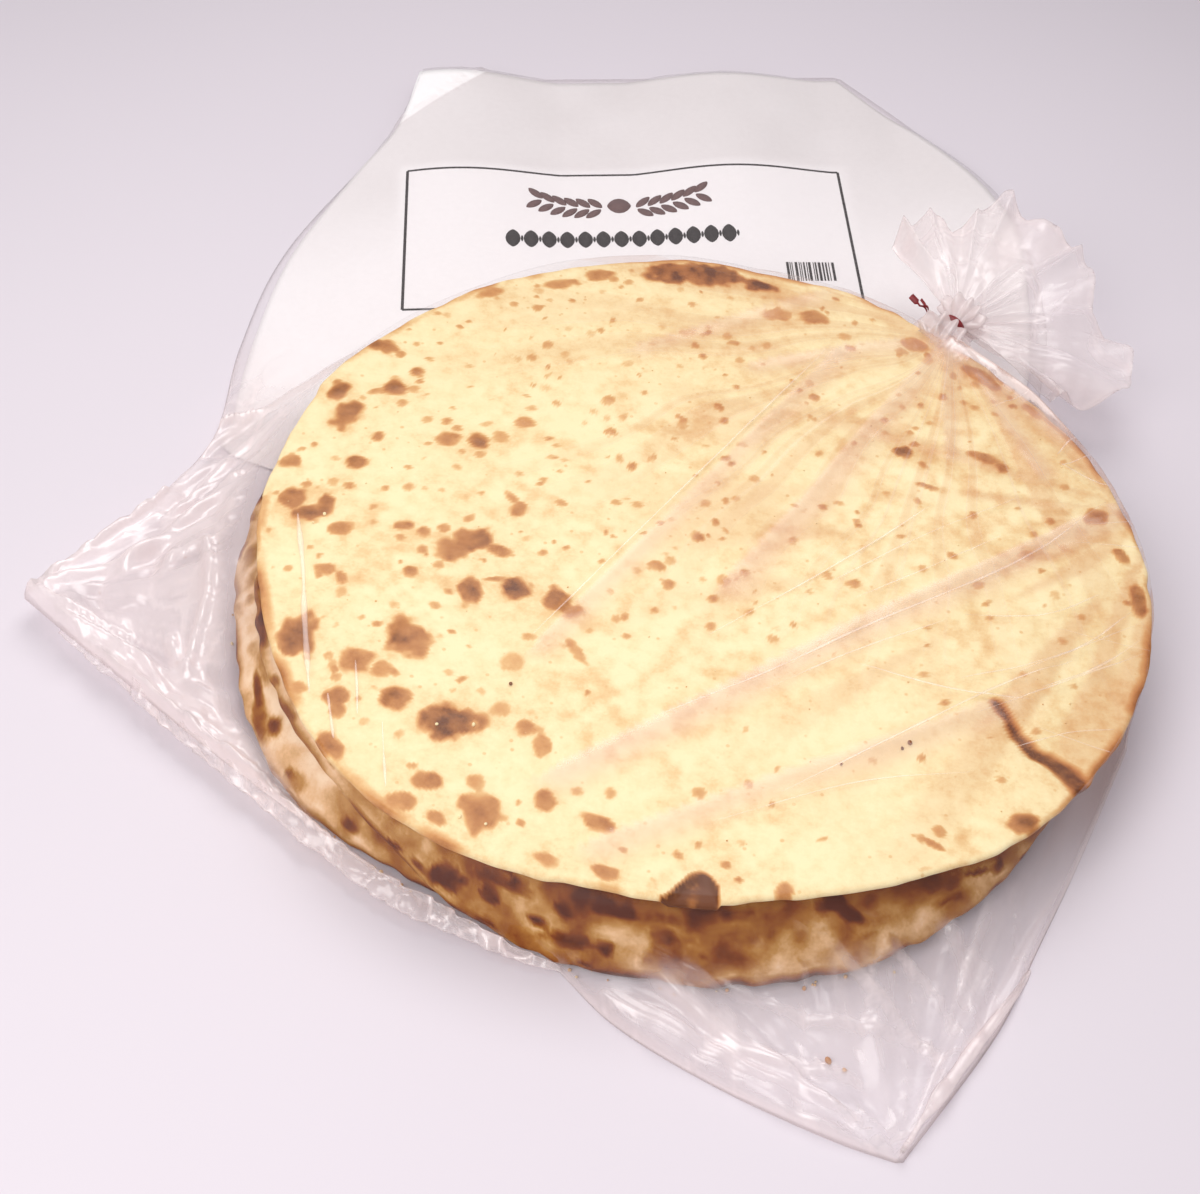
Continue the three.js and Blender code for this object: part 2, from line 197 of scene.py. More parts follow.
TOP_FOLDS = [
    FilmFold(1.2, 11, 0.48, [(168, 100), (146, 128), (118, 152)]),
    FilmFold(1.0, 9, 0.20, [(176, 43), (122, 2), (68, -37), (10, -84), (-49, -130)]),
    FilmFold(0.9, 7, 0.13, [(56, 129), (25, 78), (-6, 27), (-63, -68)]),
    FilmFold(0.8, 7, 0.12, [(50, 175), (8, 149), (-34, 122)]),
    FilmFold(0.9, 8, 0.16, [(120, -75), (82, -98), (43, -119), (-31, -162)]),
    FilmFold(0.8, 6, 0.14, [(111, 148), (107, 104), (107, 70)]),
    FilmFold(0.8, 6, 0.16, [(116, 151), (133, 95), (147, 63)]),
    FilmFold(0.8, 7, 0.15, [(104, 149), (69, 138), (22, 119)]),
    FilmFold(0.9, 9, 0.14, [(106, 142), (73, 85), (42, 28), (12, -22)]),
    FilmFold(0.9, 7, 0.18, [(113, 145), (153, 113), (180, 91)]),
]
# Thin creases in the film over and beside the stack: half width and line
BRIGHT_CREASES = [
    (2.2, [(-171, -11), (-163, -43), (-158, -68), (-149, -108)]),
    (1.3, [(-142, -107), (-139, -118), (-136, -129)]), (1.0, [(-134, -89), (-131, -104), (-129, -116)]),
    (0.9, [(-119, -118), (-116, -134), (-113, -149)]), (0.8, [(-152, 119), (-190, 96), (-224, 72)]),
]
FAINT_CREASES = [
    (1.0, [(177, 46), (136, 5), (74, -39), (32, -71), (-15, -103)]), (0.8, [(53, 131), (-9, 29), (-66, -66)]),
    (0.8, [(154, -50), (126, -65), (86, -95), (36, -132)]), (0.8, [(111, -30), (145, -25), (169, -10)]),
    (0.8, [(66, -63), (102, -71), (136, -73)]), (0.8, [(182, -18), (160, -40), (132, -58)]),
    (0.7, [(184, -34), (164, -52), (140, -66)]), (0.7, [(168, -84), (150, -88), (128, -98)]),
    (0.7, [(99, 33), (60, -6), (5, -56)]),
    (0.6, [(55, -19), (95, 14), (137, 43)]), (0.5, [(65, -27), (98, -4), (129, 19)]),
    (0.6, [(108, -65), (144, -50), (184, -25)]), (0.6, [(113, -83), (149, -62), (184, -42)]),
    (0.5, [(11, -149), (64, -124), (109, -113)]), (0.5, [(27, -83), (64, -57), (103, -34)]),
]
# The rolled hem down the right side of the front ear
FRONT_HEM = [(138, -172), (129, -188), (108, -220), (93, -244), (85, -257)]

# The label sheet and its print
SHEET_LEFT = [
    (-120, 40), (-214, 62), (-221, 90), (-222, 150), (-216, 215), (-196, 283), (-178, 329), (-173, 380),
]
SHEET_RIGHT = [
    (100, 60), (140, 110), (162, 180), (165, 280), (151, 324), (118, 372), (88, 404), (66, 429),
]
SHEET_THICKNESS = 0.3
LABEL_MIDDLE = (-44, 258)
LABEL_TURN = math.radians(11.2)
LABEL_SKEW = math.radians(4.5)
LABEL_WIDTH = 238
LABEL_DEPTH = 112
LABEL_LINE = 1.5
BARE_CORNER = 222

# The gathered neck and the ruffle beyond the tie
NECK_AZIMUTH = math.radians(55)
NECK_DISTANCE = BREAD_RADIUS + 10
NECK_HEIGHT = 38
NECK_LEAN = 0.12
WAIST_RADIUS = 5.5
WAIST_LENGTH = 7
# The ruffle's ragged edge: azimuth seen from the tie, reach and height
RUFFLE_EDGE = [
    (-36, 58, 26), (-19, 88, 27), (0, 88, 29), (9, 79, 31), (16, 71, 33), (24, 76, 36), (34, 84, 40),
    (53, 92, 43), (64, 88, 45), (74, 102, 46), (80, 80, 45), (90, 64, 44), (95, 75, 44), (106, 79, 43),
    (116, 66, 41),
]
RUFFLE_PLEATS = 6
RUFFLE_PLEAT = 6

# Rungs across the welded seam: where it meets the film and its free edge
SEAM_RUNGS = [
    ((-262, -60, 11), (-263, -63, 10)), ((-241, -72, 13), (-239, -80, 9)),
    ((-216, -90, 14), (-214, -102, 9)), ((-165, -129, 13), (-165, -138, 8)),
    ((-121, -160, 11), (-120, -169, 6)), ((-98, -171, 10), (-96, -181, 5)),
    ((-62, -188, 7), (-62, -192, 3)), ((-42, -194, 4), (-40, -196, 2)),
]

# The twist tie
TIE_WIDTH = 4
TIE_THICKNESS = 0.7
TIE_WIRE = 1.1
TIE_CLEARANCE = 0.4
TAIL_LENGTH = 19
TIE_TWISTS = 2.5
ROUND_STEPS = 48
TAIL_STEPS = 60

# The camera, fitted to the top bread's round outline
CAMERA_PLACE = (-40.5, -602.2, 644.7)
CAMERA_DOWN = math.radians(47.02)
CAMERA_ROLL = math.radians(5.96)
CAMERA_LENS = 60
SENSOR_WIDTH = 36


def ramp(value, low, high):
    """Rises smoothly from 0 at low to 1 at high."""
    share = np.clip((value - low) / (high - low), 0, 1)
    return share * share * (3 - 2 * share)


def blend(start, end, share):
    return start + (end - start) * share


def drift(x, y, span, seed):
    """Smooth random values from -1 to 1 that change over about one span."""
    size = 97
    lattice = np.random.default_rng(seed).uniform(-1, 1, (size, size))
    across, along = x / span, y / span
    column, row = np.floor(across).astype(int), np.floor(along).astype(int)
    u, v = ramp(across - column, 0, 1), ramp(along - row, 0, 1)

    def corner(right, up):
        return lattice[(column + right) % size, (row + up) % size]

    near = blend(corner(0, 0), corner(1, 0), u)
    far = blend(corner(0, 1), corner(1, 1), u)
    return blend(near, far, v)


def smooth_line(points, steps):
    """Places along a smooth line through given points."""
    points = np.asarray(points, float)
    padded = np.vstack([2 * points[0] - points[1], points, 2 * points[-1] - points[-2]])
    share = np.linspace(0, 1, steps, endpoint=False)[:, None]
    stretches = []
    for before, start, end, after in zip(padded, padded[1:], padded[2:], padded[3:]):
        straight = 2 * start + (end - before) * share
        bend = (2 * before - 5 * start + 4 * end - after) * share**2
        twist = (3 * start - before - 3 * end + after) * share**3
        stretches.append((straight + bend + twist) / 2)
    return np.vstack([*stretches, points[-1:]])


def line_offset(x, y, points):
    """Distance from places to the nearest stretch of a line, below zero on its right."""
    nearest = np.full(np.shape(x), 1e6)
    for (ax, ay), (bx, by) in zip(points, points[1:]):
        run_x, run_y = bx - ax, by - ay
        off_x, off_y = x - ax, y - ay
        share = np.clip((off_x * run_x + off_y * run_y) / (run_x**2 + run_y**2), 0, 1)
        gap = np.hypot(off_x - share * run_x, off_y - share * run_y)
        side = np.where(run_x * off_y - run_y * off_x > 0, 1, -1)
        nearest = np.where(gap < np.abs(nearest), gap * side, nearest)
    return nearest


def line_distance(x, y, points):
    """Distance from places to the nearest stretch of a line."""
    return np.abs(line_offset(x, y, points))


def spot_distance(x, y, spot):
    return np.hypot(x - spot[0], y - spot[1])


def polar(x, y):
    """Places as their distance from the middle and their azimuth."""
    return np.hypot(x, y), np.arctan2(y, x)


OUTLINE = np.vstack([smooth_line(stretch, 16)[:-1] for stretch in OUTLINE_STRETCHES])
OUTLINE_AZIMUTH = np.arctan2(OUTLINE[:, 1], OUTLINE[:, 0])
OUTLINE_REACH = np.hypot(OUTLINE[:, 0], OUTLINE[:, 1])


def bag_reach(azimuth):
    """Distance from the stack's axis to the bag's outline."""
    return np.interp(azimuth, OUTLINE_AZIMUTH, OUTLINE_REACH, period=2 * math.pi)


def turn_between(azimuth, middle):
    """The angle from middle to azimuth, in the range -PI to PI."""
    return np.arctan2(np.sin(azimuth - middle), np.cos(azimuth - middle))


def ear_share(azimuth, middle, spread):
    """1 in a middle direction, 0 beyond a spread to both sides of it."""
    off = np.abs(turn_between(azimuth, math.radians(middle)))
    return 1 - ramp(off, math.radians(spread * 0.5), math.radians(spread))


# Breads


def stack_rim(azimuth):
    """The top bread's rim without its small breaks, where the film turns down."""
    turn, reach = np.radians([place[0] for place in TOP_RIM]), [place[1] for place in TOP_RIM]
    return np.interp(azimuth, turn, reach, period=2 * math.pi)


def hang(bread, azimuth):
    """Length and angle of a bread's hanging margin, with a ripple that all the breads share."""
    turns, lengths, angles = np.array(bread.hang, float).T
    ripple = 1 + 0.11 * drift(BREAD_RADIUS * azimuth, 0 * azimuth, 24, 19)
    length = np.interp(np.degrees(azimuth), turns, lengths)
    return length, np.radians(np.interp(np.degrees(azimuth), turns, angles)) * ripple


def bread_rim(bread, azimuth):
    """Distance from a bread's own middle to its uneven rim, before any of it bends down."""
    if bread is TOP_BREAD:
        return stack_rim(azimuth) + 0.9 * drift(bread.radius * azimuth, 0 * azimuth, 9, bread.seed)
    waves = np.sin(3 * azimuth + bread.phase) + 0.6 * np.sin(8 * azimuth + 2 * bread.phase)
    breaks = 0.9 * drift(bread.radius * azimuth, 0 * azimuth, 7, bread.seed)
    return bread.radius + RIM_WAVE * waves + breaks + hang(bread, azimuth)[0]


def hollow_depth(x, y):
    """Depth of places in the top bread's hollow at the front of its rim, in shares of its reach, below zero
    outside.
    """
    azimuth = np.arctan2(y, x)
    off = turn_between(azimuth, HOLLOW_AZIMUTH) * BREAD_RADIUS + 0.9 * drift(x, y, 4, 15)
    gentle = np.cos(math.pi / 2 * np.clip(off / HOLLOW_LEFT, -1, 0)) ** 1.4
    steep = np.sqrt(1 - np.clip(off / HOLLOW_RIGHT, 0, 1) ** 2)
    inward = (stack_rim(azimuth) - np.hypot(x, y)) / HOLLOW_REACH
    return np.where(off < 0, gentle, steep) * 1.05 - 0.05 - np.maximum(0, inward)


def bread_middle(bread, x, y):
    """Height of a bread's middle layer: all the breads nest, and each has a little wave of its own."""
    azimuth = np.arctan2(y, x)
    outward = ramp(np.hypot(x, y) / bread.radius, 0.6, 1)
    flutter = 0.6 * np.sin(5 * azimuth + 1) + 0.4 * np.sin(11 * azimuth + 2)
    common = COMMON_WAVE * drift(x, y, 85, 1) + FLUTTER * outward * flutter
    own = OWN_WAVE * drift(x, y, 40, bread.seed) * (1 + outward)
    sunk = HOLLOW_DROP * ramp(hollow_depth(x, y), -0.05, 0.35) if bread is TOP_BREAD else 0
    return STACK_TOP - TOP_BREAD.thickness / 2 - BREAD_PITCH * bread.level + common + own - sunk


def blistered(x, y, blisters, seed, soft):
    """Browning and swelling that blisters give the crust: darkest in each middle, with a ragged edge."""
    brown = np.zeros(np.shape(x))
    swell = np.zeros(np.shape(x))
    ragged = 0.26 * drift(x, y, 6, seed) + 0.2 * drift(x, y, 3, seed + 1)
    patchy = 1 + 0.14 * drift(x, y, 4, seed + 2)
    for middle_x, middle_y, width, depth, turn, level in blisters:
        near = np.hypot(x - middle_x, y - middle_y) < max(width, depth)
        off_x, off_y = x[near] - middle_x, y[near] - middle_y
        cosine, sine = math.cos(math.radians(turn)), math.sin(math.radians(turn))
        along = (off_x * cosine + off_y * sine) / (width / 2)
        across = (off_y * cosine - off_x * sine) / (depth / 2)
        plain = np.hypot(along, across)
        away = plain + ragged[near]
        spread = 1 - ramp(away, 0.95 - soft, 0.95 + soft)
        body = level * spread * (1 - 0.16 * ramp(away, 0, 1)) * patchy[near]
        halo = 0.2 * level * (1 - ramp(away, 0.8, 1.8))
        brown[near] = np.maximum(brown[near], np.maximum(body, halo))
        swell[near] = np.maximum(swell[near], level * (1 - ramp(plain, 0.1, 1.35)))
    return brown, swell


def small_spots(count, seed, radius):
    """Little blisters strewn over a bread, thicker towards its back left."""
    dice = np.random.default_rng(seed)
    spots = []
    while len(spots) < count:
        x, y = dice.uniform(-radius, radius, 2)
        crowding = 0.35 + 0.65 * ramp(y - 0.6 * x, -120, 120)
        if math.hypot(x, y) < radius - 4 and dice.uniform() < crowding:
            width = dice.uniform(2.2, 5.5)
            depth = width * dice.uniform(0.6, 1.1)
            turn, level = dice.uniform(0, 180), dice.uniform(0.22, 0.6)
            spots.append((x, y, width, depth, turn, level))
    return spots


def large_blotches(bread):
    """Blisters and scorched patches round a lower bread's rim, where its edge shows."""
    dice = np.random.default_rng(bread.seed)
    blotches = []
    for azimuth in np.arange(0, 2 * math.pi, 0.045):
        turn = azimuth + dice.uniform(0, 0.05)
        reach = bread.radius + dice.uniform(-16, 3 + max(0, hang(bread, turn_between(turn, 0))[0]))
        place = (reach * math.cos(turn), reach * math.sin(turn))
        size = (dice.uniform(3.5, 9), dice.uniform(6, 24))
        level = min(1, bread.scorch * dice.uniform(0.4, 1.2))
        blotches.append((*place, *size, math.degrees(turn) + dice.uniform(-25, 25), level))
    return blotches


TOP_BLISTERS = BLISTERS + small_spots(SMALL_SPOTS, SPOT_SEED, BREAD_RADIUS)
LOWER_BLISTERS = {bread.name: large_blotches(bread) for bread in BREADS[1:]}
LOWER_BLISTERS["bread_second"] += FRONT_PATCHES


def bread_crust(bread, x, y):
    """Browning of the crust, with painted shade in the top bread's front hollow, painted shade on the lower
    breads' front and painted light on their left, and how far it stands above a bread's smooth top, at places
    from its middle.
    """
    if bread is TOP_BREAD:
        brown, swell = blistered(x, y, TOP_BLISTERS, bread.seed, 0.21)
    else:
        brown, swell = blistered(x, y, LOWER_BLISTERS[bread.name], bread.seed, 0.5)
    radius, azimuth = polar(x, y)
    edge = ramp(radius / bread_rim(bread, azimuth), 0.965, 1.0)
    caught = 0.2 + 0.8 * ramp(drift(BREAD_RADIUS * azimuth, radius, 13, bread.seed + 3), -0.5, 0.6)
    if bread is TOP_BREAD:
        backward = ramp(np.sin(azimuth) + 0.5 * np.cos(azimuth), -0.4, 0.8)
        tan = 0.06 + 0.05 * ramp(y + 0.6 * x, -40, 190) + 0.02 * ramp(-x, 30, 170) + 0.05 * ramp(x, 60, 170)
        patchy = 0.35 + 0.65 * ramp(drift(x, y, 38, 11), -0.3, 0.4)
        mottle = 0.1 * drift(x, y, 13, 9) + 0.11 * drift(x, y, 5, 10)
        tan = tan + 0.05 * drift(x, y, 34, 8) + patchy * mottle
        brown = np.maximum(brown, tan) + 0.3 * np.minimum(brown, np.maximum(tan, 0))
        browner = np.max([backward, ear_share(azimuth, -138, 58), ear_share(azimuth, -14, 34)], axis=0)
        brown = np.maximum(brown, edge * caught * blend(0.16, 0.72, browner))
        # The hollow is painted darkest brown: scorched crust and painted shade of the recess.
        inside = hollow_depth(x, y)
        brown = np.maximum(brown, (1.04 + 0.12 * drift(x, y, 5, 12)) * ramp(inside, -0.07, 0.08))
        gap = line_distance(x, y, CREASE) + 0.8 * drift(x, y, 4, 6)
        width = blend(*CREASE_WIDTHS, ramp(x, CREASE[0][0], CREASE[-1][0]))
        fold = 1 - ramp(gap, width * 0.2, width * 0.75)
        brown = np.maximum(brown, 0.97 * fold)
        swell = swell - fold * CREASE_DEPTH / BLISTER_HEIGHT
    else:
        # Paler crust and fainter rim scorch towards the left are painted light on that side.
        painted_light_left, front_scorch_and_shade = ear_share(azimuth, -165, 50), ear_share(azimuth, -84, 66)
        mottled = 0.3 * drift(x, y, 15, bread.seed + 5) + 0.2 * drift(x, y, 6, bread.seed + 6)
        bend = 1 - ramp(radius, bread.radius - 4, bread.radius + 10)
        # Browner towards the front, most before the margin bends: partly scorched crust, partly painted shade
        # of the front face.
        brown = np.maximum(brown, 0.34 + front_scorch_and_shade * (0.12 + 0.26 * bend) - 0.28 * painted_light_left + mottled)
        brown = np.maximum(brown, edge * bread.scorch * blend(0.35, 1.05, caught) * (1 - 0.35 * painted_light_left))
    pillows = 0.35 * drift(x, y, 22, bread.seed + 7) + 0.18 * drift(x, y, 9, bread.seed + 8)
    return brown, BLISTER_HEIGHT * swell + pillows


def half_thickness(bread, radius):
    """Half of a bread's thickness, which thins towards its margin."""
    return blend(bread.thickness, bread.rim, ramp(radius, bread.radius - 45, bread.radius - 12)) / 2


def bread_top_height(bread, x, y):
    """Height of a bread's top face at places on the table."""
    off_x, off_y = x - bread.shift[0], y - bread.shift[1]
    radius = np.hypot(off_x, off_y)
    share = radius / bread_rim(bread, np.arctan2(off_y, off_x))
    half = half_thickness(bread, radius)
    lumps = bread_crust(bread, off_x, off_y)[1]
    return bread_middle(bread, off_x, off_y) + half + lumps * (1 - ramp(share, 0.95, 1))


def round_grid(count):
    """Even places over a circle of radius 1, from a square grid pressed round."""
    line = np.linspace(-1, 1, count)
    a, b = np.meshgrid(line, line, indexing="ij")
    wide = np.abs(a) > np.abs(b)
    radius = np.where(wide, a, b)
    slant = np.where(wide, b, a) / np.where(radius == 0, 1, radius)
    turn = np.where(wide, slant, 2 - slant) * math.pi / 4
    return radius * np.cos(turn), radius * np.sin(turn)


def grid_rim(count):
    """Numbers of a square grid's outer points, counter-clockwise."""
    step = np.arange(count - 1)
    front = step * count
    right = (count - 1) * count + step
    back = (count - 1 - step) * count + count - 1
    left = count - 1 - step
    return np.concatenate([front, right, back, left])


def grid_quads(count):
    """The four corners of each cell of a square grid, seen from above."""
    i, j = np.meshgrid(np.arange(count - 1), np.arange(count - 1), indexing="ij")
    first = (i * count + j).ravel()
    return np.stack([first, first + count, first + count + 1, first + 1], 1)


def band_quads(inner, outer):
    """Quads between two closed loops of point numbers, facing up where inner lies inside outer."""
    return np.stack([inner, outer, np.roll(outer, -1), np.roll(inner, -1)], 1)


def in_scene(name, data):
    """A new object in the scene, from its mesh, lamp or camera data."""
    thing = bpy.data.objects.new(name, data)
    bpy.context.scene.collection.objects.link(thing)
    return thing


def store_values(mesh, name, values):
    """Keeps a named number at each of a mesh's points."""
    attribute = mesh.attributes.new(name, "FLOAT", "POINT")
    attribute.data.foreach_set("value", np.asarray(values, np.float32))


def mesh_piece(name, points, faces, material, **point_values):
    """A piece from points in millimetres, faces and named values at its points."""
    mesh = bpy.data.meshes.new(name)
    mesh.from_pydata((np.asarray(points) * MM).tolist(), [], [list(map(int, face)) for face in faces])
    for value_name, values in point_values.items():
        store_values(mesh, value_name, values)
    mesh.polygons.foreach_set("use_smooth", np.ones(len(mesh.polygons), bool))
    mesh.materials.append(material)
    mesh.update()
    return in_scene(name, mesh)


def drooped(bread, points):
    """A bread's points with its front margin bent down along a round bend."""
    x, y, z = points.T
    radius, azimuth = polar(x, y)
    start = bread.radius - HANG_BEND
    past = np.maximum(0, radius - start)
    slope = np.minimum(past / HANG_BEND, hang(bread, azimuth)[1])
    straight = past - HANG_BEND * slope
    middle = bread_middle(bread, x, y)
    above = z - middle
    reach = np.minimum(radius, start) + (HANG_BEND + above) * np.sin(slope) + straight * np.cos(slope)
    height = middle - HANG_BEND + (HANG_BEND + above) * np.cos(slope) - straight * np.sin(slope)
    return np.stack([reach * np.cos(azimuth), reach * np.sin(azimuth), height], 1)


MARGIN_WIDTH = 24
MARGIN_RINGS = 24
# Grid lines over the top bread, the lower breads with a margin that shows, and the hidden ones
TOP_GRID = 240
MARGIN_GRID = 190
HIDDEN_GRID = 100


def make_bread(bread, count, material):
    """One bread: a blistered top with a finer margin, a rounded rim and a plain underside."""
    inner = bread.radius - MARGIN_WIDTH
    x, y = (inner * side.ravel() for side in round_grid(count))
    top = bread_top_height(bread, x + bread.shift[0], y + bread.shift[1])
    points = [np.stack([x, y, top], 1)]
    brown = [bread_crust(bread, x, y)[0]]
    faces = list(grid_quads(count))

    loop = grid_rim(count)
    around = np.arctan2(y, x)[loop]
    rounding = bread.rim * 0.75
    rim = bread_rim(bread, around)
    rim_x, rim_y = rim * np.cos(around), rim * np.sin(around)
    rim_middle = bread_middle(bread, rim_x, rim_y)
    rim_brown = bread_crust(bread, rim_x * 0.999, rim_y * 0.999)[0]
    number = count * count

    def add_loop(reach, height, level):
        nonlocal loop, number
        points.append(np.stack([reach * np.cos(around), reach * np.sin(around), height], 1))
        brown.append(level)
        next_loop = np.arange(number, number + len(around))
        faces.extend(band_quads(loop, next_loop))
        loop, number = next_loop, number + len(around)

    for ring in range(1, MARGIN_RINGS + 1):
        reach = blend(inner, rim - rounding, ring / MARGIN_RINGS)
        ring_x, ring_y = reach * np.cos(around), reach * np.sin(around)
        top = bread_top_height(bread, ring_x + bread.shift[0], ring_y + bread.shift[1])
        add_loop(reach, top, bread_crust(bread, ring_x, ring_y)[0])
    for slope in np.radians([60, 30, 0, -30, -60]):
        reach = rim - rounding * (1 - math.cos(slope))
        add_loop(reach, rim_middle + bread.rim / 2 * math.sin(slope), rim_brown)
    for inward in (1, 0.975, 0.95, 0.925, 0.9, 0.875, 0.85, 0.825, 0.8, 0.7, 0.5, 0.25):
        reach = (rim - rounding) * inward
        half = half_thickness(bread, reach)
        under_x, under_y = reach * np.cos(around), reach * np.sin(around)
        level = bread_crust(bread, under_x, under_y)[0]
        add_loop(reach, bread_middle(bread, under_x, under_y) - half, level)
    points.append(np.array([[0, 0, bread_middle(bread, np.zeros(1), np.zeros(1))[0] - bread.thickness / 2]]))
    brown.append(np.array([0.1]))
    faces.extend(np.stack([loop, np.full(len(loop), number), np.roll(loop, -1)], 1))
    points = np.vstack(points)
    placed = drooped(bread, points) + [*bread.shift, 0]
    return mesh_piece(bread.name, placed, faces, material, toast=np.concatenate(brown))


def two_sided(name, upper, lower, material, **point_values):
    """A thin closed piece from two grids of points: rows lead out and columns run round to the left."""
    columns, rows = upper.shape[:2]
    points = np.vstack([upper.reshape(-1, 3), lower.reshape(-1, 3)])
    cell = np.arange(columns * rows).reshape(columns, rows)
    below = columns * rows
    quads = np.stack([cell[:-1, :-1], cell[:-1, 1:], cell[1:, 1:], cell[1:, :-1]], -1).reshape(-1, 4)
    rim = np.concatenate([cell[0, :], cell[1:, -1], cell[-1, -2::-1], cell[-2:0:-1, 0]])
    walls = np.stack([np.roll(rim, -1), rim, below + rim, below + np.roll(rim, -1)], 1)
    faces = np.vstack([quads, below + quads[:, ::-1], walls])
    both = {value_name: np.tile(np.ravel(values), 2) for value_name, values in point_values.items()}
    return mesh_piece(name, points, faces, material, **both)


# Film


def label_place(x, y):
    """Places on the table as places along and across the label."""
    off_x, off_y = x - LABEL_MIDDLE[0], y - LABEL_MIDDLE[1]
    up_turn = LABEL_TURN - LABEL_SKEW
    along = (off_x * math.cos(up_turn) + off_y * math.sin(up_turn)) / math.cos(LABEL_SKEW)
    across = (off_y * math.cos(LABEL_TURN) - off_x * math.sin(LABEL_TURN)) / math.cos(LABEL_SKEW)
    return along, across


def sheet_height(x, y):
    """Height of the label sheet's underside: flat under the stack, waving towards its back edge."""
    along, across = label_place(x, y)
    swell = ramp(across, -70, 70)
    wave = np.maximum(0, 2.6 + 3.8 * np.cos(2 * math.pi * (along + 92) / 152))
    corner = 4 * ramp(-along + across, 175, 250)
    return 0.8 + swell * wave + corner


def film_under(x, y):
    """Height of the film's underside: on the table, and lifted along the left seam."""
    radius, azimuth = polar(x, y)
    away = np.abs(turn_between(azimuth, SEAM_LIFT_MIDDLE)) / SEAM_LIFT_SPREAD
    share = 1 - ramp(away, 0.35, 1)
    return 0.25 + SEAM_LIFT * share * ramp(radius, stack_rim(azimuth), bag_reach(azimuth))


def creased(x, y, span, seed):
    """Film that has been crumpled: flat facets between sharp lines."""
    coarse = np.abs(drift(x, y, span, seed))
    fine = np.abs(drift(x + 0.4 * y, y - 0.4 * x, span * 0.45, seed + 1))
    return coarse + 0.5 * fine


def crease_lines(x, y, span, seed):
    """1 on the sharp lines of crumpled film, 0 between them."""
    return 1 - ramp(np.abs(drift(x, y, span, seed)), 0.02, 0.11)


def fan(x, y, tip, count, seed):
    """Streaks that run out from a tip towards the stack: random by direction, changing slowly along each."""
    direction = turn_between(np.arctan2(y - tip[1], x - tip[0]), math.atan2(-tip[1], -tip[0]))
    return drift(direction * count + 40, spot_distance(x, y, tip) / 110, 1, seed)


def seam_share(x, y):
    """1 on the crinkled band along the front left seam and round the left ear, 0 elsewhere."""
    radius, azimuth = polar(x, y)
    away = np.abs(turn_between(azimuth, math.radians(-148))) / math.radians(46)
    outside = ramp(radius - stack_rim(azimuth), 6, 16)
    near_edge = 1 - ramp(bag_reach(azimuth) - radius, SEAM_WIDTH * 0.7, SEAM_WIDTH * 2)
    return outside * (1 - ramp(away, 0.75, 1)) * near_edge


def outward_shift(bread, azimuth):
    """How far a bread is shifted in a direction."""
    return bread.shift[0] * np.cos(azimuth) + bread.shift[1] * np.sin(azimuth)


def margin_end(bread, azimuth):
    """Distance from a bread's own middle to where its margin ends, seen from above."""
    steepest = hang(bread, azimuth)[1]
    start = bread.radius - HANG_BEND
    hanging = bread_rim(bread, azimuth) - start - HANG_BEND * steepest
    return start + (HANG_BEND + bread.rim / 2) * np.sin(steepest) + hanging * np.cos(steepest)


def stack_foot(azimuth):
    """Distance from the stack's axis to the widest bread, where tight film becomes loose."""
    ends = [margin_end(bread, azimuth) + outward_shift(bread, azimuth) for bread in BREADS[1:]]
    return np.max([stack_rim(azimuth), *ends], axis=0)


def bread_cover(x, y):
    """The lowest that the film may lie so as to clear every bread."""
    radius, azimuth = polar(x, y)
    cover = np.zeros(np.shape(x))
    for bread in BREADS[1:]:
        out = radius - outward_shift(bread, azimuth)
        steepest = hang(bread, azimuth)[1]
        bend = HANG_BEND + bread.rim / 2
        past = np.maximum(0, out - bread.radius + HANG_BEND)
        on_bend = np.minimum(past, bend * np.sin(steepest))
        fall = bend - np.sqrt(bend**2 - on_bend**2) + (past - on_bend) * np.tan(steepest)
        fall = fall + COVER_SLOPE * np.maximum(0, out - margin_end(bread, azimuth) - 0.6)
        cover = np.maximum(cover, bread_middle(bread, x, y) + bread.rim / 2 + 0.8 - fall)
    return cover


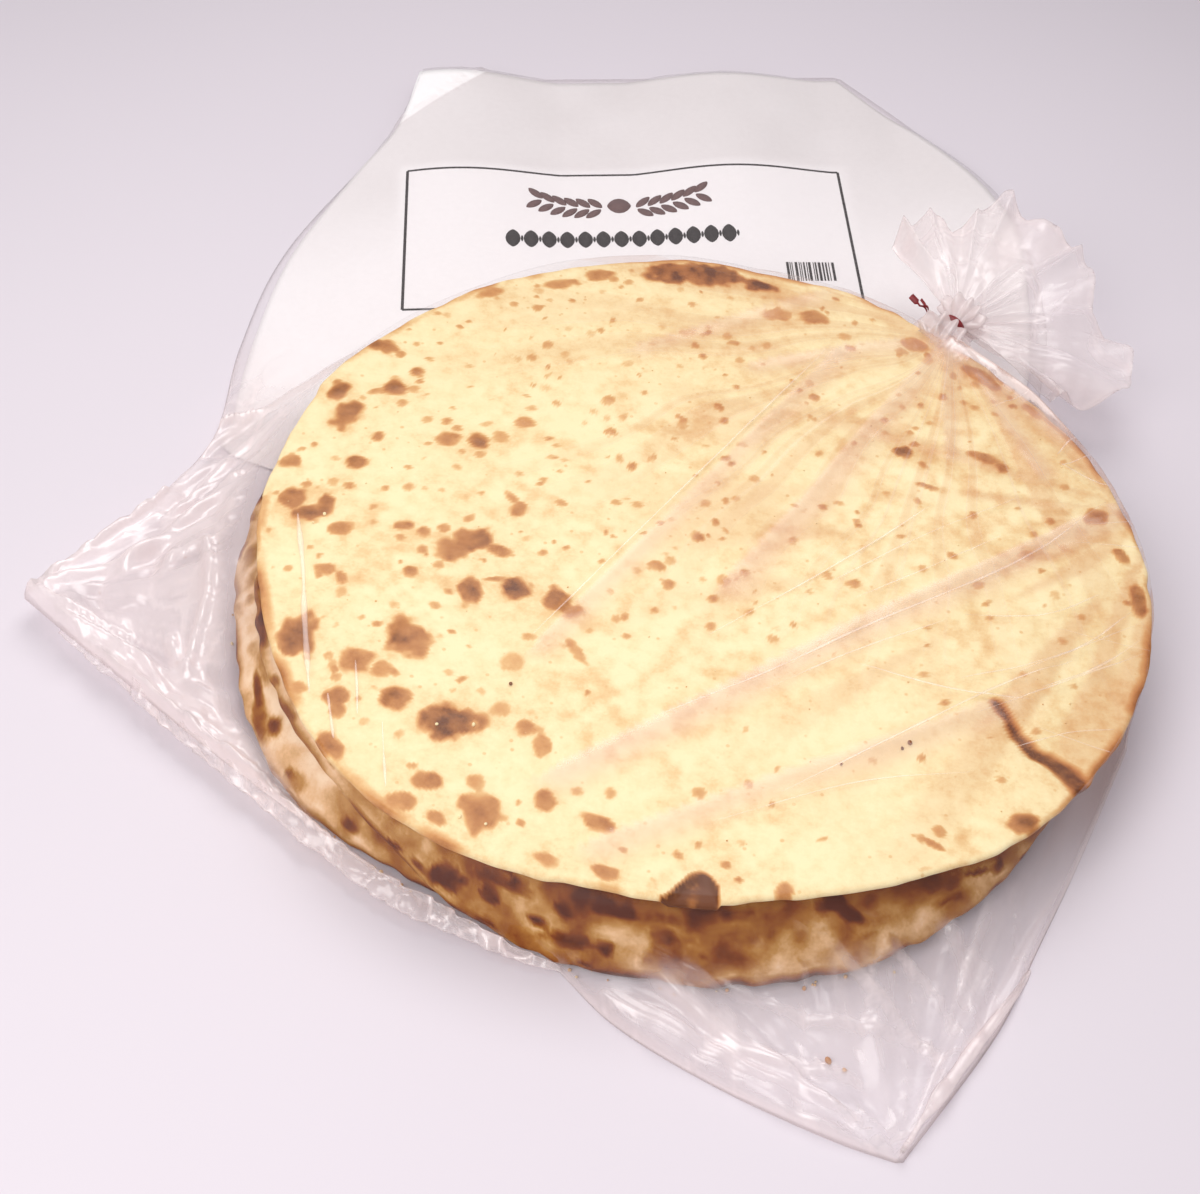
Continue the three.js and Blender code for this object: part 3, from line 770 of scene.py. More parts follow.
def film_top(x, y):
    """Height of the film on top: over the stack, down its sides and out over the ears and the label sheet."""
    radius, azimuth = polar(x, y)
    rim, reach = stack_rim(azimuth), bag_reach(azimuth)
    under = film_under(x, y)
    lying = np.maximum(under + FILM_GAP, sheet_height(x, y) + SHEET_THICKNESS + 0.5)
    longest = blend(EAR_FALL, BACK_FALL, ramp(np.sin(azimuth), -0.1, 0.5))
    fall = np.minimum(FALL_SHARE * (reach - rim), longest)
    drape = np.clip(1 - (radius - rim) / fall, 0, 1) ** FALL_CURVE
    tent = lying + (STACK_TOP + FILM_OVER - lying) * drape
    inside = radius < rim
    over_bread = np.zeros(np.shape(x))
    over_bread[inside] = bread_top_height(TOP_BREAD, x[inside], y[inside]) + 0.5
    height = np.maximum(np.maximum(tent, bread_cover(x, y)), over_bread)

    beside = ramp(radius, rim + 3, rim + 16)
    for fold in SIDE_FOLDS:
        near = 1 - ramp(line_distance(x, y, fold.line), 0, fold.half)
        height = height + fold.height * near * beside
    for fold in TOP_FOLDS:
        near = 1 - ramp(line_distance(x, y, fold.line), 0, fold.half)
        height = height + fold.height * near * (1 - beside)
    left, front = ear_share(azimuth, -172, 45), ear_share(azimuth, -72, 40)
    for share, tip, seed in ((left, LEFT_EAR_TIP, 71), (front, FRONT_EAR_TIP, 75)):
        streaks = 5 * np.abs(fan(x, y, tip, 11, seed)) + 2 * np.abs(fan(x, y, tip, 27, seed + 10))
        height = height + beside * share * (streaks + 2.6 * creased(x, y, 20, seed + 1))
    height = height + 3 * seam_share(x, y) * creased(x, y, 9, 77)
    height = height + 0.5 * beside * drift(x, y, 18, 73) ** 2
    height = height + 0.3 * (1 - beside) * np.abs(drift(x, y, 30, 74))
    fading = 1 - ramp(spot_distance(x, y, NECK_FOOT), 60, 330)
    height = height + 0.9 * (1 - beside) * fading * np.abs(fan(x, y, NECK_FOOT, 13, 91))
    fading = 1 - ramp(spot_distance(x, y, SIDE_PULL), 90, 260)
    height = height + 0.7 * (1 - beside) * fading * np.abs(fan(x, y, SIDE_PULL, 12, 93))

    shelf_along = x * math.cos(NECK_AZIMUTH) + y * math.sin(NECK_AZIMUTH)
    shelf_across = y * math.cos(NECK_AZIMUTH) - x * math.sin(NECK_AZIMUTH)
    before_waist = 1 - ramp(shelf_along, NECK_DISTANCE - 2, NECK_DISTANCE + 16)
    pull = np.exp(-((shelf_across / 15) ** 2)) * before_waist
    pull = pull * ramp(shelf_along, BREAD_RADIUS - 25, BREAD_RADIUS)
    height = height + pull * np.maximum(0, NECK_HEIGHT + 3 - height)
    height = height + 0.9 * pull * np.sin(shelf_across * 1.3)

    edge = ramp(reach - radius, 0, 3.5)
    return blend(under, np.maximum(height, under + 0.4), edge)


def film_haze(x, y):
    """Share of milky scatter in the film: little where it lies tight, more at seams, folds and loose ears."""
    radius, azimuth = polar(x, y)
    rim, reach = stack_rim(azimuth), bag_reach(azimuth)
    foot = stack_foot(azimuth)
    beside = ramp(radius, foot, foot + 12)
    left, front = ear_share(azimuth, -172, 45), ear_share(azimuth, -68, 45)
    backward = ramp(np.sin(azimuth), 0.1, 0.5)
    haze = CLEAR_HAZE + 0.025 * beside + 0.03 * backward * beside
    veil = ramp(radius, rim - 1, rim + 7) * (1 - ramp(radius, rim + 14, rim + 30))
    haze = haze + 0.26 * ear_share(azimuth, 176, 34) * veil
    ears = ((left, LEFT_EAR_TIP, 71, 0.3, 0.3, 0.3), (front, FRONT_EAR_TIP, 75, 0.06, 0.15, 0.2))
    for share, tip, seed, plain, streaky, lined in ears:
        streaks = ramp(fan(x, y, tip, 11, seed), -0.5, 0.8)
        streaks = streaks + 0.5 * ramp(fan(x, y, tip, 27, seed + 10), 0, 0.5)
        lines = crease_lines(x, y, 20, seed + 1)
        haze = haze + beside * share * (plain + streaky * streaks + lined * lines)
    haze = haze + seam_share(x, y) * (0.24 + 0.25 * crease_lines(x, y, 9, 77))
    haze = haze + 0.4 * (1 - 0.8 * backward) * (1 - ramp(reach - radius, 0.5, 3))
    for fold in SIDE_FOLDS:
        near = 1 - ramp(line_distance(x, y, fold.line), fold.half * 0.4, fold.half)
        haze = haze + fold.haze * near * beside
    # The folds over the stack show less where a brown blister lies below
    on_stack = 1 - beside
    inside = radius < rim
    on_stack[inside] *= 1 - 0.8 * ramp(bread_crust(TOP_BREAD, x[inside], y[inside])[0], 0.35, 0.6)
    for fold in TOP_FOLDS:
        offset = line_offset(x, y, fold.line)
        band = ramp(offset, -1.5, 0.5) * (1 - ramp(offset, 0, 2 * fold.half))
        haze = haze + 1.25 * fold.haze * on_stack * band
    return np.clip(haze, 0, 0.75)


def film_doubled(x, y):
    """How far the film over the stack lies in folds, where more than one layer dulls the bread below."""
    radius, azimuth = polar(x, y)
    rim = stack_rim(azimuth)
    doubled = np.zeros(np.shape(x))
    for fold in TOP_FOLDS:
        offset = line_offset(x, y, fold.line)
        doubled = doubled + 4.5 * fold.haze * ramp(offset, -1, 0.5) * (1 - ramp(offset, 0, 2.4 * fold.half))
    away = spot_distance(x, y, SIDE_PULL)
    pulled = ramp(away, 10, 40) * (1 - ramp(away, 90, 270))
    doubled = doubled + pulled * ramp(fan(x, y, SIDE_PULL, 12, 93), 0.05, 0.2)
    return np.clip(doubled, 0, 1) * (1 - ramp(radius, rim, rim + 8))


def neck_gather(x, y):
    """How strongly the film is drawn into gathers that run from the neck over the stack."""
    radius, azimuth = polar(x, y)
    rim = stack_rim(azimuth)
    away = spot_distance(x, y, NECK_FOOT)
    return 0.8 * (1 - ramp(radius, rim, rim + 10)) * (1 - ramp(away, 40, 290))


FILM_RAYS = 640
INNER_RINGS = 66
OUTER_RINGS = 62


def make_film(material):
    """The bag's film as one closed skin: the top, out to the outline, and the underside."""
    azimuth = np.linspace(-math.pi, math.pi, FILM_RAYS, endpoint=False)
    rim, reach = stack_rim(azimuth), bag_reach(azimuth)
    middle = np.zeros(1), np.zeros(1)
    points, faces = [np.array([[0, 0, film_top(*middle)[0]]])], []
    values = {
        "haze": [np.array([CLEAR_HAZE])],
        "gather": [neck_gather(*middle)],
        "doubled": [film_doubled(*middle)],
    }
    number = 1
    loop = None

    def add_loop(radius, height_of, facing_up=True):
        nonlocal loop, number
        x, y = radius * np.cos(azimuth), radius * np.sin(azimuth)
        points.append(np.stack([x, y, height_of(x, y)], 1))
        values["haze"].append(film_haze(x, y) if facing_up else np.full(FILM_RAYS, UNDER_HAZE))
        values["gather"].append(neck_gather(x, y) * facing_up)
        values["doubled"].append(film_doubled(x, y) * facing_up)
        next_loop = np.arange(number, number + FILM_RAYS)
        if loop is None:
            faces.extend(np.stack([np.zeros(FILM_RAYS), next_loop, np.roll(next_loop, -1)], 1))
        else:
            faces.extend(band_quads(loop, next_loop))
        loop, number = next_loop, number + FILM_RAYS

    for ring in range(1, INNER_RINGS + 1):
        add_loop((rim - 4) * ring / INNER_RINGS, film_top)
    for past in (-3, -2, -1, 0):
        add_loop(rim + past, film_top)
    for ring in range(1, OUTER_RINGS + 1):
        add_loop(blend(rim, reach, (ring / OUTER_RINGS) ** 1.25), film_top)
    for share in (0.97, 0.9, 0.8, 0.65, 0.5, 0.3, 0.12, 0):
        add_loop(blend(rim, reach, share), film_under, False)
    for share in (0.7, 0.35):
        add_loop(rim * share, film_under, False)
    points.append(np.array([[0, 0, film_under(*middle)[0]]]))
    for value_name, last in (("haze", UNDER_HAZE), ("gather", 0), ("doubled", 0)):
        values[value_name].append(np.array([last]))
    faces.extend(np.stack([loop, np.full(FILM_RAYS, number), np.roll(loop, -1)], 1))
    joined = {value_name: np.concatenate(parts) for value_name, parts in values.items()}
    return mesh_piece("film_bag", np.vstack(points), faces, material, **joined)


# Neck, ruffle and tie


def neck_frame():
    """Axes at the neck's waist, as columns: out of the bag, sideways and up, and its place."""
    out = np.array([math.cos(NECK_AZIMUTH), math.sin(NECK_AZIMUTH), NECK_LEAN])
    out = out / np.linalg.norm(out)
    side = np.array([-out[1], out[0], 0]) / math.hypot(out[0], out[1])
    place = [NECK_DISTANCE * math.cos(NECK_AZIMUTH), NECK_DISTANCE * math.sin(NECK_AZIMUTH), NECK_HEIGHT]
    return np.stack([out, side, np.cross(out, side)], 1), np.array(place)


def at_neck(local):
    """Places given along, across and above the neck, in the bag's own frame."""
    axes, place = neck_frame()
    return np.asarray(local) @ axes.T + place


def ruffle_places(azimuth, share, layer):
    """Places on the ruffle by azimuth and share of its reach, on its upper layer 1 or its lower layer -1."""
    root = at_neck([[WAIST_LENGTH / 2, 0, 0]])[0]
    turns, reaches, heights = np.array(RUFFLE_EDGE, float).T
    reach = np.interp(np.degrees(azimuth), turns, reaches)
    edge_height = np.interp(np.degrees(azimuth), turns, heights)
    x = root[0] + reach * share * np.cos(azimuth)
    y = root[1] + reach * share * np.sin(azimuth)
    pleat = RUFFLE_PLEAT * share**0.8 * (1 - 2.4 * np.abs(drift(azimuth * RUFFLE_PLEATS + 9, share, 1, 82)))
    crumple = 3 * share * creased(x, y, 24, 83) + 0.8 * share * creased(x, y, 9, 85)
    puff = 3.2 * np.sin(math.pi * np.minimum(1, share * 1.02)) ** 0.6
    height = blend(root[2], edge_height, share) + pleat + crumple + layer * puff
    return np.stack([x, y, height], -1)


RUFFLE_COLUMNS = 260
RUFFLE_ROWS = 50


def make_ruffle(material):
    """The loose film beyond the tie: two layers of crumpled film that meet round the mouth."""
    azimuth = np.radians(np.linspace(RUFFLE_EDGE[0][0], RUFFLE_EDGE[-1][0], RUFFLE_COLUMNS))
    share = np.linspace(0.02, 1, RUFFLE_ROWS)
    azimuths, shares = np.meshgrid(azimuth, share, indexing="ij")
    closing = 1 - ramp(np.abs(np.linspace(-1, 1, RUFFLE_COLUMNS)), 0.9, 1)[:, None]
    upper = ruffle_places(azimuths, shares, closing + 0.05)
    lower = ruffle_places(azimuths, shares, -closing - 0.05)
    facets = ramp(drift(azimuths * RUFFLE_PLEATS + 9, shares, 1, 82), -0.3, 0.5)
    haze = 0.25 + 0.12 * facets + 0.12 * ramp(shares, 0.93, 1)
    haze = haze + 0.12 * crease_lines(upper[..., 0], upper[..., 1], 24, 83)
    return two_sided("film_ruffle", upper, lower, material, haze=haze)


SEAM_STEPS = 26
SEAM_ROWS = 12


def make_seam(material):
    """The welded seam along the front left: a crinkled double band of film off the foot of the stack."""
    inner = smooth_line([place[0] for place in SEAM_RUNGS], SEAM_STEPS)
    outer = smooth_line([place[1] for place in SEAM_RUNGS], SEAM_STEPS)
    share = np.linspace(0, 1, SEAM_ROWS)[None, :, None]
    band = inner[:, None] + (outer - inner)[:, None] * share
    x, y = band[..., 0], band[..., 1]
    along = np.linspace(0, 1, len(inner))[:, None]
    ends = ramp(along, 0, 0.08) * (1 - ramp(along, 0.92, 1))
    lift = ends * (4.4 * creased(x, y, 11, 77) + 1.8 * creased(x, y, 5, 78) - 2)
    facing = np.array([-0.5, -0.6, 0.6])
    upper = band + lift[..., None] * facing
    lower = upper - 0.4 * facing
    edges = np.maximum(1 - ramp(share[..., 0], 0, 0.1), ramp(share[..., 0], 0.9, 1))
    haze = 0.24 + 0.38 * crease_lines(x, y, 11, 77) + 0.22 * crease_lines(x, y, 5, 78) + 0.3 * edges
    return two_sided("film_seam", upper, lower, material, haze=haze)


NECK_SIDES = 96


def make_neck(material):
    """The film drawn together under the tie, in flutes that widen to both sides."""
    towards_bag, outward = np.linspace(-16, -2.6, 16), np.linspace(2.6, 12, 12)
    stations = np.concatenate([towards_bag, np.linspace(-2.2, 2.2, 6), outward])
    around = np.linspace(0, 2 * math.pi, NECK_SIDES, endpoint=False)
    points, faces = [], []
    for station in stations:
        wide = ramp(np.abs(station), TIE_WIDTH / 2, 5 if station < 0 else 7)
        radius = blend(WAIST_RADIUS - 0.2, WAIST_RADIUS + (6.5 if station < 0 else 5.5), wide)
        ripple = np.sin(11 * around + 0.15 * station + np.sin(3 * around))
        flutes = radius * (1 + blend(0.06, 0.2, wide) * ripple)
        along = np.full(NECK_SIDES, station)
        ring = np.stack([along, flutes * np.cos(around), flutes * np.sin(around)], 1)
        points.append(ring)
    ends = [[stations[0] - 1, 0, 0], [stations[-1] + 1, 0, 0]]
    points = at_neck(np.vstack([*points, ends]))
    loops = [np.arange(NECK_SIDES) + NECK_SIDES * ring for ring in range(len(stations))]
    for inner, outer in zip(loops, loops[1:]):
        faces.extend(band_quads(outer, inner))
    first, last = len(points) - 2, len(points) - 1
    faces.extend(np.stack([np.full(NECK_SIDES, first), np.roll(loops[0], -1), loops[0]], 1))
    faces.extend(np.stack([np.full(NECK_SIDES, last), loops[-1], np.roll(loops[-1], -1)], 1))
    return mesh_piece("film_neck", points, faces, material, haze=np.full(len(points), 0.5))


def ribbon_section():
    """The tie's cross-section, wide and flat with a swelling for its wire: places across and above."""
    half, flat, wire = TIE_WIDTH / 2, TIE_THICKNESS / 2, TIE_WIRE / 2
    upper = [
        (half, 0), (half * 0.85, flat), (0.7, flat), (0.35, wire),
        (-0.35, wire), (-0.7, flat), (-half * 0.85, flat),
    ]
    lower = [(-across, -above) for across, above in upper]
    return np.array(upper + lower)


def make_tie(material):
    """The twist tie: a ribbon round the waist and two tails twisted together."""
    section = ribbon_section()
    size = len(section)
    middle = WAIST_RADIUS + TIE_CLEARANCE + TIE_THICKNESS / 2
    points, faces = [], []
    turns = np.linspace(0, 2 * math.pi, ROUND_STEPS, endpoint=False)
    for turn in turns:
        radius = middle + section[:, 1]
        ring = np.stack([section[:, 0], radius * np.cos(turn), radius * np.sin(turn)], 1)
        points.append(ring)
    for step in range(len(turns)):
        near = np.arange(size) + size * step
        far = np.arange(size) + size * ((step + 1) % len(turns))
        faces.extend(band_quads(far, near))
    for tail in (0, 1):
        start = sum(map(len, points))
        shares = np.linspace(0, 1, TAIL_STEPS)
        for share in shares:
            turn = min(1, share / 0.72) * TIE_TWISTS * 2 * math.pi + tail * math.pi
            length = TAIL_LENGTH * (1 - 0.3 * tail)
            narrow = blend(0.22, blend(1.0, 0.4, tail), ramp(share, 0.74, 0.8))
            flat_way = np.array([-math.sin(turn), 0, math.cos(turn)])
            wide_way = np.array([math.cos(turn), 0, math.sin(turn)])
            place = np.array([2 * share**2, middle + length * share, 5 * share]) + 0.6 * flat_way
            points.append(place + section[:, :1] * wide_way * narrow + section[:, 1:] * flat_way)
        for step in range(len(shares) - 1):
            near = np.arange(size) + start + size * step
            faces.extend(band_quads(near, near + size))
        faces.append(np.arange(start, start + size))
        last = start + size * (len(shares) - 1)
        faces.append(np.arange(last, last + size)[::-1])
    return mesh_piece("tie_ribbon", at_neck(np.vstack(points)), faces, material)


# Label sheet


def corner_gap(x, y):
    """How far places lie from the label's middle towards the sheet's back left corner."""
    along, across = label_place(x, y)
    return across - along


def make_sheet(material):
    """The white label sheet: its front edge lies under the stack and its back edge waves a little."""
    columns, rows = 110, 90
    left = smooth_line(SHEET_LEFT, 40)
    right = smooth_line(SHEET_RIGHT, 40)
    pick = np.linspace(0, len(left) - 1, rows).astype(int)
    left, right = left[pick], right[pick]
    share = np.linspace(1, 0, columns)[:, None, None]
    places = left[None] + (right - left)[None] * share
    x, y = places[..., 0], places[..., 1]
    low = sheet_height(x, y)
    upper = np.stack([x, y, low + SHEET_THICKNESS], -1)
    lower = np.stack([x, y, low], -1)
    along, across = label_place(x, y)
    # A plain grey over the whole sheet, and outside the frame towards the back painted shade of the crumpled
    # film that lies on it.
    film_shade_past_frame = np.maximum(np.abs(along) - LABEL_WIDTH / 2, np.abs(across) - LABEL_DEPTH / 2)
    film_shade_past_frame = ramp(film_shade_past_frame, 0, 8) * ramp(across, -40, 60) * (0.8 + 0.2 * drift(x, y, 30, 61))
    tint = 0.34 + 0.4 * film_shade_past_frame
    return two_sided("label_sheet", upper, lower, material, tint=tint)


def label_spot(along, across):
    """Places on the label as places on the table."""
    up_turn = LABEL_TURN - LABEL_SKEW
    x = LABEL_MIDDLE[0] + along * math.cos(LABEL_TURN) - across * math.sin(up_turn)
    y = LABEL_MIDDLE[1] + along * math.sin(LABEL_TURN) + across * math.cos(up_turn)
    return x, y


INK_FILM = 0.08


def make_print(name, shapes, material):
    """Printed shapes on the sheet, each a closed outline along and across the label."""
    points, faces = [], []
    number = 0
    for outline in shapes:
        outline = np.asarray(outline, float)
        count = len(outline)
        ring_x, ring_y = label_spot(outline[:, 0], outline[:, 1])
        base = sheet_height(ring_x, ring_y) + SHEET_THICKNESS
        points.append(np.stack([ring_x, ring_y, base + INK_FILM], 1))
        points.append(np.stack([ring_x, ring_y, base - INK_FILM], 1))
        upper = np.arange(number, number + count)
        lower = upper + count
        faces.append(upper)
        faces.append(lower[::-1])
        faces.extend(band_quads(upper, lower))
        number += 2 * count
    return mesh_piece(name, np.vstack(points), faces, material)


def bar(along, across, width, depth):
    """A printed bar, by its middle and size."""
    half_w, half_d = width / 2, depth / 2
    return [
        (along - half_w, across - half_d), (along + half_w, across - half_d),
        (along + half_w, across + half_d), (along - half_w, across + half_d),
    ]


def grain(along, across, length, width, turn):
    """A printed grain shape: a pointed oval."""
    places = []
    for step in np.linspace(0, 2 * math.pi, 16, endpoint=False):
        u = length / 2 * math.cos(step)
        v = width / 2 * math.sin(step) * abs(math.sin(step)) ** 0.4
        turned_along = u * math.cos(turn) - v * math.sin(turn)
        turned_across = u * math.sin(turn) + v * math.cos(turn)
        places.append((along + turned_along, across + turned_across))
    return places


def frame_shapes():
    """The frame line in lengths that follow the sheet's waves, a block of bars and a row of lozenges."""
    shapes = []
    half_w, half_d = LABEL_WIDTH / 2, LABEL_DEPTH / 2
    across_steps = np.linspace(-half_w, half_w, 61)
    for start, end in zip(across_steps, across_steps[1:]):
        for side in (-half_d, half_d):
            shapes.append(bar((start + end) / 2, side, end - start, LABEL_LINE))
    depth_steps = np.linspace(-half_d, half_d, 31)
    for start, end in zip(depth_steps, depth_steps[1:]):
        for side in (-half_w, half_w):
            shapes.append(bar(side, (start + end) / 2, LABEL_LINE, end - start))
    dice = np.random.default_rng(3)
    along = half_w - 38
    while along < half_w - 11:
        width = dice.choice([0.5, 0.9, 1.4])
        shapes.append(bar(along + width / 2, -half_d + 24, width, 15))
        along += width + dice.choice([0.5, 0.8, 1.2])
    for step in range(-6, 7):
        shapes.append(grain(step * 9.6 - 5, -1, 14, 8, math.pi / 2))
        shapes.append(grain(step * 9.6 - 0.2, -1, 5, 1.4, math.pi / 2))
    return shapes


def ornament_shapes():
    """Two ears of grain that lean apart from a round boss."""
    shapes = [grain(-5, 28, 13, 13, 0)]
    for side in (-1, 1):
        for step in range(6):
            along = -5 + side * (13 + 6.4 * step)
            rise = 26 + 0.3 * step**2
            shapes.append(grain(along, rise + 4.6, 11, 5, side * math.radians(48)))
            shapes.append(grain(along + side, rise - 4.6, 11, 5, -side * math.radians(42)))
    return shapes


# Nodes and materials


def linear(code):
    """An sRGB hex colour as linear red, green, blue and alpha."""
    parts = [int(code[i:i + 2], 16) / 255 for i in (1, 3, 5)]
    return (*[part / 12.92 if part <= 0.04045 else ((part + 0.055) / 1.055) ** 2.4 for part in parts], 1)


def add_node(tree, kind, settings=None, inputs=None, stops=None):
    """Adds a node with its settings, colour stops, and inputs that are set or linked."""
    node = tree.nodes.new(kind)
    for name, value in (settings or {}).items():
        setattr(node, name, value)
    for place, colour in stops or []:
        if place in (0, 1):
            node.color_ramp.elements[int(place)].color = linear(colour)
        else:
            node.color_ramp.elements.new(place).color = linear(colour)
    for name, value in (inputs or {}).items():
        if isinstance(value, bpy.types.NodeSocket):
            tree.links.new(value, node.inputs[name])
        else:
            node.inputs[name].default_value = value
    return node


def new_material(name):
    """An empty node material, its tree and its Object coordinates."""
    material = bpy.data.materials.new(name)
    material.use_nodes = True
    tree = material.node_tree
    tree.nodes.clear()
    return material, tree, add_node(tree, "ShaderNodeTexCoord").outputs["Object"]


def surfaced(material, shader):
    """The material with a shader as its surface."""
    add_node(material.node_tree, "ShaderNodeOutputMaterial", None, {"Surface": shader.outputs[0]})
    return material


def per_size(millimetres):
    """A texture scale that makes its cells about this size."""
    return 1 / (millimetres * MM)


def baked_crust(name, stops):
    """Baked wheat dough: a dry matt crust, pale where plain, tan to brown where the oven caught it, and paler
    and darker where light and shade are painted into its toast value.
    """
    material, tree, place = new_material(name)
    toast = add_node(tree, "ShaderNodeAttribute", {"attribute_name": "toast"}).outputs["Fac"]
    mottle = add_node(tree, "ShaderNodeTexNoise", None, {
        "Vector": place, "Scale": per_size(5), "Detail": 5, "Roughness": 0.62}).outputs["Fac"]
    grit = add_node(tree, "ShaderNodeTexNoise", None, {
        "Vector": place, "Scale": per_size(1.6), "Detail": 3, "Roughness": 0.6}).outputs["Fac"]
    freckle = add_node(tree, "ShaderNodeTexVoronoi", {"feature": "F1"}, {
        "Vector": place, "Scale": per_size(8), "Randomness": 1.0})
    dot = add_node(tree, "ShaderNodeMapRange", {"interpolation_type": "SMOOTHSTEP"}, {
        "Value": freckle.outputs["Distance"], "From Min": 0.06, "From Max": 0.17,
        "To Min": 0.22, "To Max": 0.0})
    shade = add_node(tree, "ShaderNodeMath", {"operation": "MULTIPLY_ADD"}, {0: mottle, 1: 0.36, 2: -0.18})
    fine = add_node(tree, "ShaderNodeMath", {"operation": "MULTIPLY_ADD"}, {0: grit, 1: 0.14, 2: -0.07})
    both = add_node(tree, "ShaderNodeMath", {"operation": "ADD"}, {0: shade.outputs[0], 1: fine.outputs[0]})
    spotted = add_node(tree, "ShaderNodeMath", {"operation": "MAXIMUM"}, {0: toast, 1: dot.outputs[0]})
    level = add_node(tree, "ShaderNodeMath", {"operation": "ADD"}, {
        0: spotted.outputs[0], 1: both.outputs[0]})
    colour = add_node(tree, "ShaderNodeValToRGB", None, {"Fac": level.outputs[0]}, stops)
    dryness = add_node(tree, "ShaderNodeMapRange", None, {
        "Value": level.outputs[0], "From Min": 0.0, "From Max": 0.9, "To Min": 0.82, "To Max": 0.55})
    bump = add_node(tree, "ShaderNodeBump", None, {"Strength": 0.35, "Distance": 0.4 * MM, "Height": grit})
    surface = add_node(tree, "ShaderNodeBsdfPrincipled", None, {
        "Base Color": colour.outputs["Color"], "Roughness": dryness.outputs[0],
        "Specular IOR Level": 0.3, "Normal": bump.outputs[0]})
    return surfaced(material, surface)


PALE_CRUST = [
    (0, "#f1e0b2"), (1, "#66340f"), (0.1, "#ecd7a6"), (0.2, "#e4c590"), (0.34, "#d8ab71"), (0.54, "#c99056"),
    (0.76, "#ad6f38"), (0.9, "#8e5422"),
]
BROWN_CRUST = [
    (0, "#f3d6b4"), (1, "#542006"), (0.2, "#e2b88a"), (0.4, "#bb8a4c"), (0.56, "#a26828"), (0.78, "#803f10"),
]
# The film's gathers in a full turn round the neck, and how far they sway from straight lines
GATHERS_PER_TURN = 44
GATHER_SWAY = 18


def clear_film():
    """Blown polyethylene film: clear where tight, milky at seams and folds, with soft glints."""
    material, tree, place = new_material("polyethylene_film_clear")
    haze, gather, doubled = [
        add_node(tree, "ShaderNodeAttribute", {"attribute_name": value_name}).outputs["Fac"]
        for value_name in ("haze", "gather", "doubled")
    ]
    sway = add_node(tree, "ShaderNodeTexNoise", None, {"Vector": place, "Scale": per_size(60), "Detail": 0})
    swayed = add_node(tree, "ShaderNodeVectorMath", {"operation": "MULTIPLY_ADD"}, {
        0: sway.outputs["Fac"], 1: (GATHER_SWAY * MM, -GATHER_SWAY * MM, 0), 2: place})
    tip = ((NECK_FOOT[0] + GATHER_SWAY / 2) * MM, (NECK_FOOT[1] - GATHER_SWAY / 2) * MM)
    from_neck = add_node(tree, "ShaderNodeMapping", None, {
        "Vector": swayed.outputs[0], "Location": (-tip[0], -tip[1], 0)})
    turn = add_node(tree, "ShaderNodeTexGradient", {"gradient_type": "RADIAL"}, {
        "Vector": from_neck.outputs[0]})
    folds = add_node(tree, "ShaderNodeTexNoise", {"noise_dimensions": "1D"}, {
        "W": turn.outputs["Fac"], "Scale": GATHERS_PER_TURN, "Detail": 2, "Roughness": 0.6}).outputs["Fac"]
    band = add_node(tree, "ShaderNodeMapRange", {"interpolation_type": "SMOOTHSTEP"}, {
        "Value": folds, "From Min": 0.5, "From Max": 0.6, "To Min": 0.0, "To Max": 1.0})
    on_edge = add_node(tree, "ShaderNodeMath", {"operation": "COMPARE"}, {0: folds, 1: 0.53, 2: 0.008})
    lit = add_node(tree, "ShaderNodeMath", {"operation": "MULTIPLY_ADD"}, {
        0: on_edge.outputs[0], 1: 0.16, 2: 0.03})
    layers = add_node(tree, "ShaderNodeMath", {"operation": "MULTIPLY_ADD"}, {
        0: band.outputs[0], 1: gather, 2: doubled})
    dulled = add_node(tree, "ShaderNodeValToRGB", None, {"Fac": layers.outputs[0]}, [
        (0, "#ffffff"), (1, "#f7eeea")])
    milky = add_node(tree, "ShaderNodeMath", {"operation": "MULTIPLY_ADD"}, {
        0: lit.outputs[0], 1: gather, 2: haze}).outputs[0]
    crinkle = add_node(tree, "ShaderNodeTexNoise", {"noise_type": "RIDGED_MULTIFRACTAL"}, {
        "Vector": place, "Scale": per_size(14), "Detail": 2, "Roughness": 0.5})
    bump = add_node(tree, "ShaderNodeBump", None, {
        "Strength": 0.5, "Distance": 0.4 * MM, "Height": crinkle.outputs["Fac"]})
    clear = add_node(tree, "ShaderNodeBsdfTransparent", None, {"Color": dulled.outputs[0]})
    milk, glow = [
        add_node(tree, kind, None, {"Color": linear("#fef2f1"), "Normal": bump.outputs[0]})
        for kind in ("ShaderNodeBsdfDiffuse", "ShaderNodeBsdfTranslucent")
    ]
    scatter = add_node(tree, "ShaderNodeMixShader", None, {0: 0.35, 1: milk.outputs[0], 2: glow.outputs[0]})
    body = add_node(tree, "ShaderNodeMixShader", None, {0: milky, 1: clear.outputs[0], 2: scatter.outputs[0]})
    shine = add_node(tree, "ShaderNodeBsdfGlossy", None, {
        "Color": linear("#ffffff"), "Roughness": 0.22, "Normal": bump.outputs[0]})
    mirror = add_node(tree, "ShaderNodeFresnel", None, {"IOR": 1.18, "Normal": bump.outputs[0]})
    facing = add_node(tree, "ShaderNodeMath", {"operation": "MINIMUM"}, {0: mirror.outputs[0], 1: 0.13})
    sheen = add_node(tree, "ShaderNodeMath", {"operation": "MULTIPLY_ADD"}, {
        0: haze, 1: 0.1, 2: facing.outputs[0]})
    skin = add_node(tree, "ShaderNodeMixShader", None, {
        0: sheen.outputs[0], 1: body.outputs[0], 2: shine.outputs[0]})
    return surfaced(material, skin)


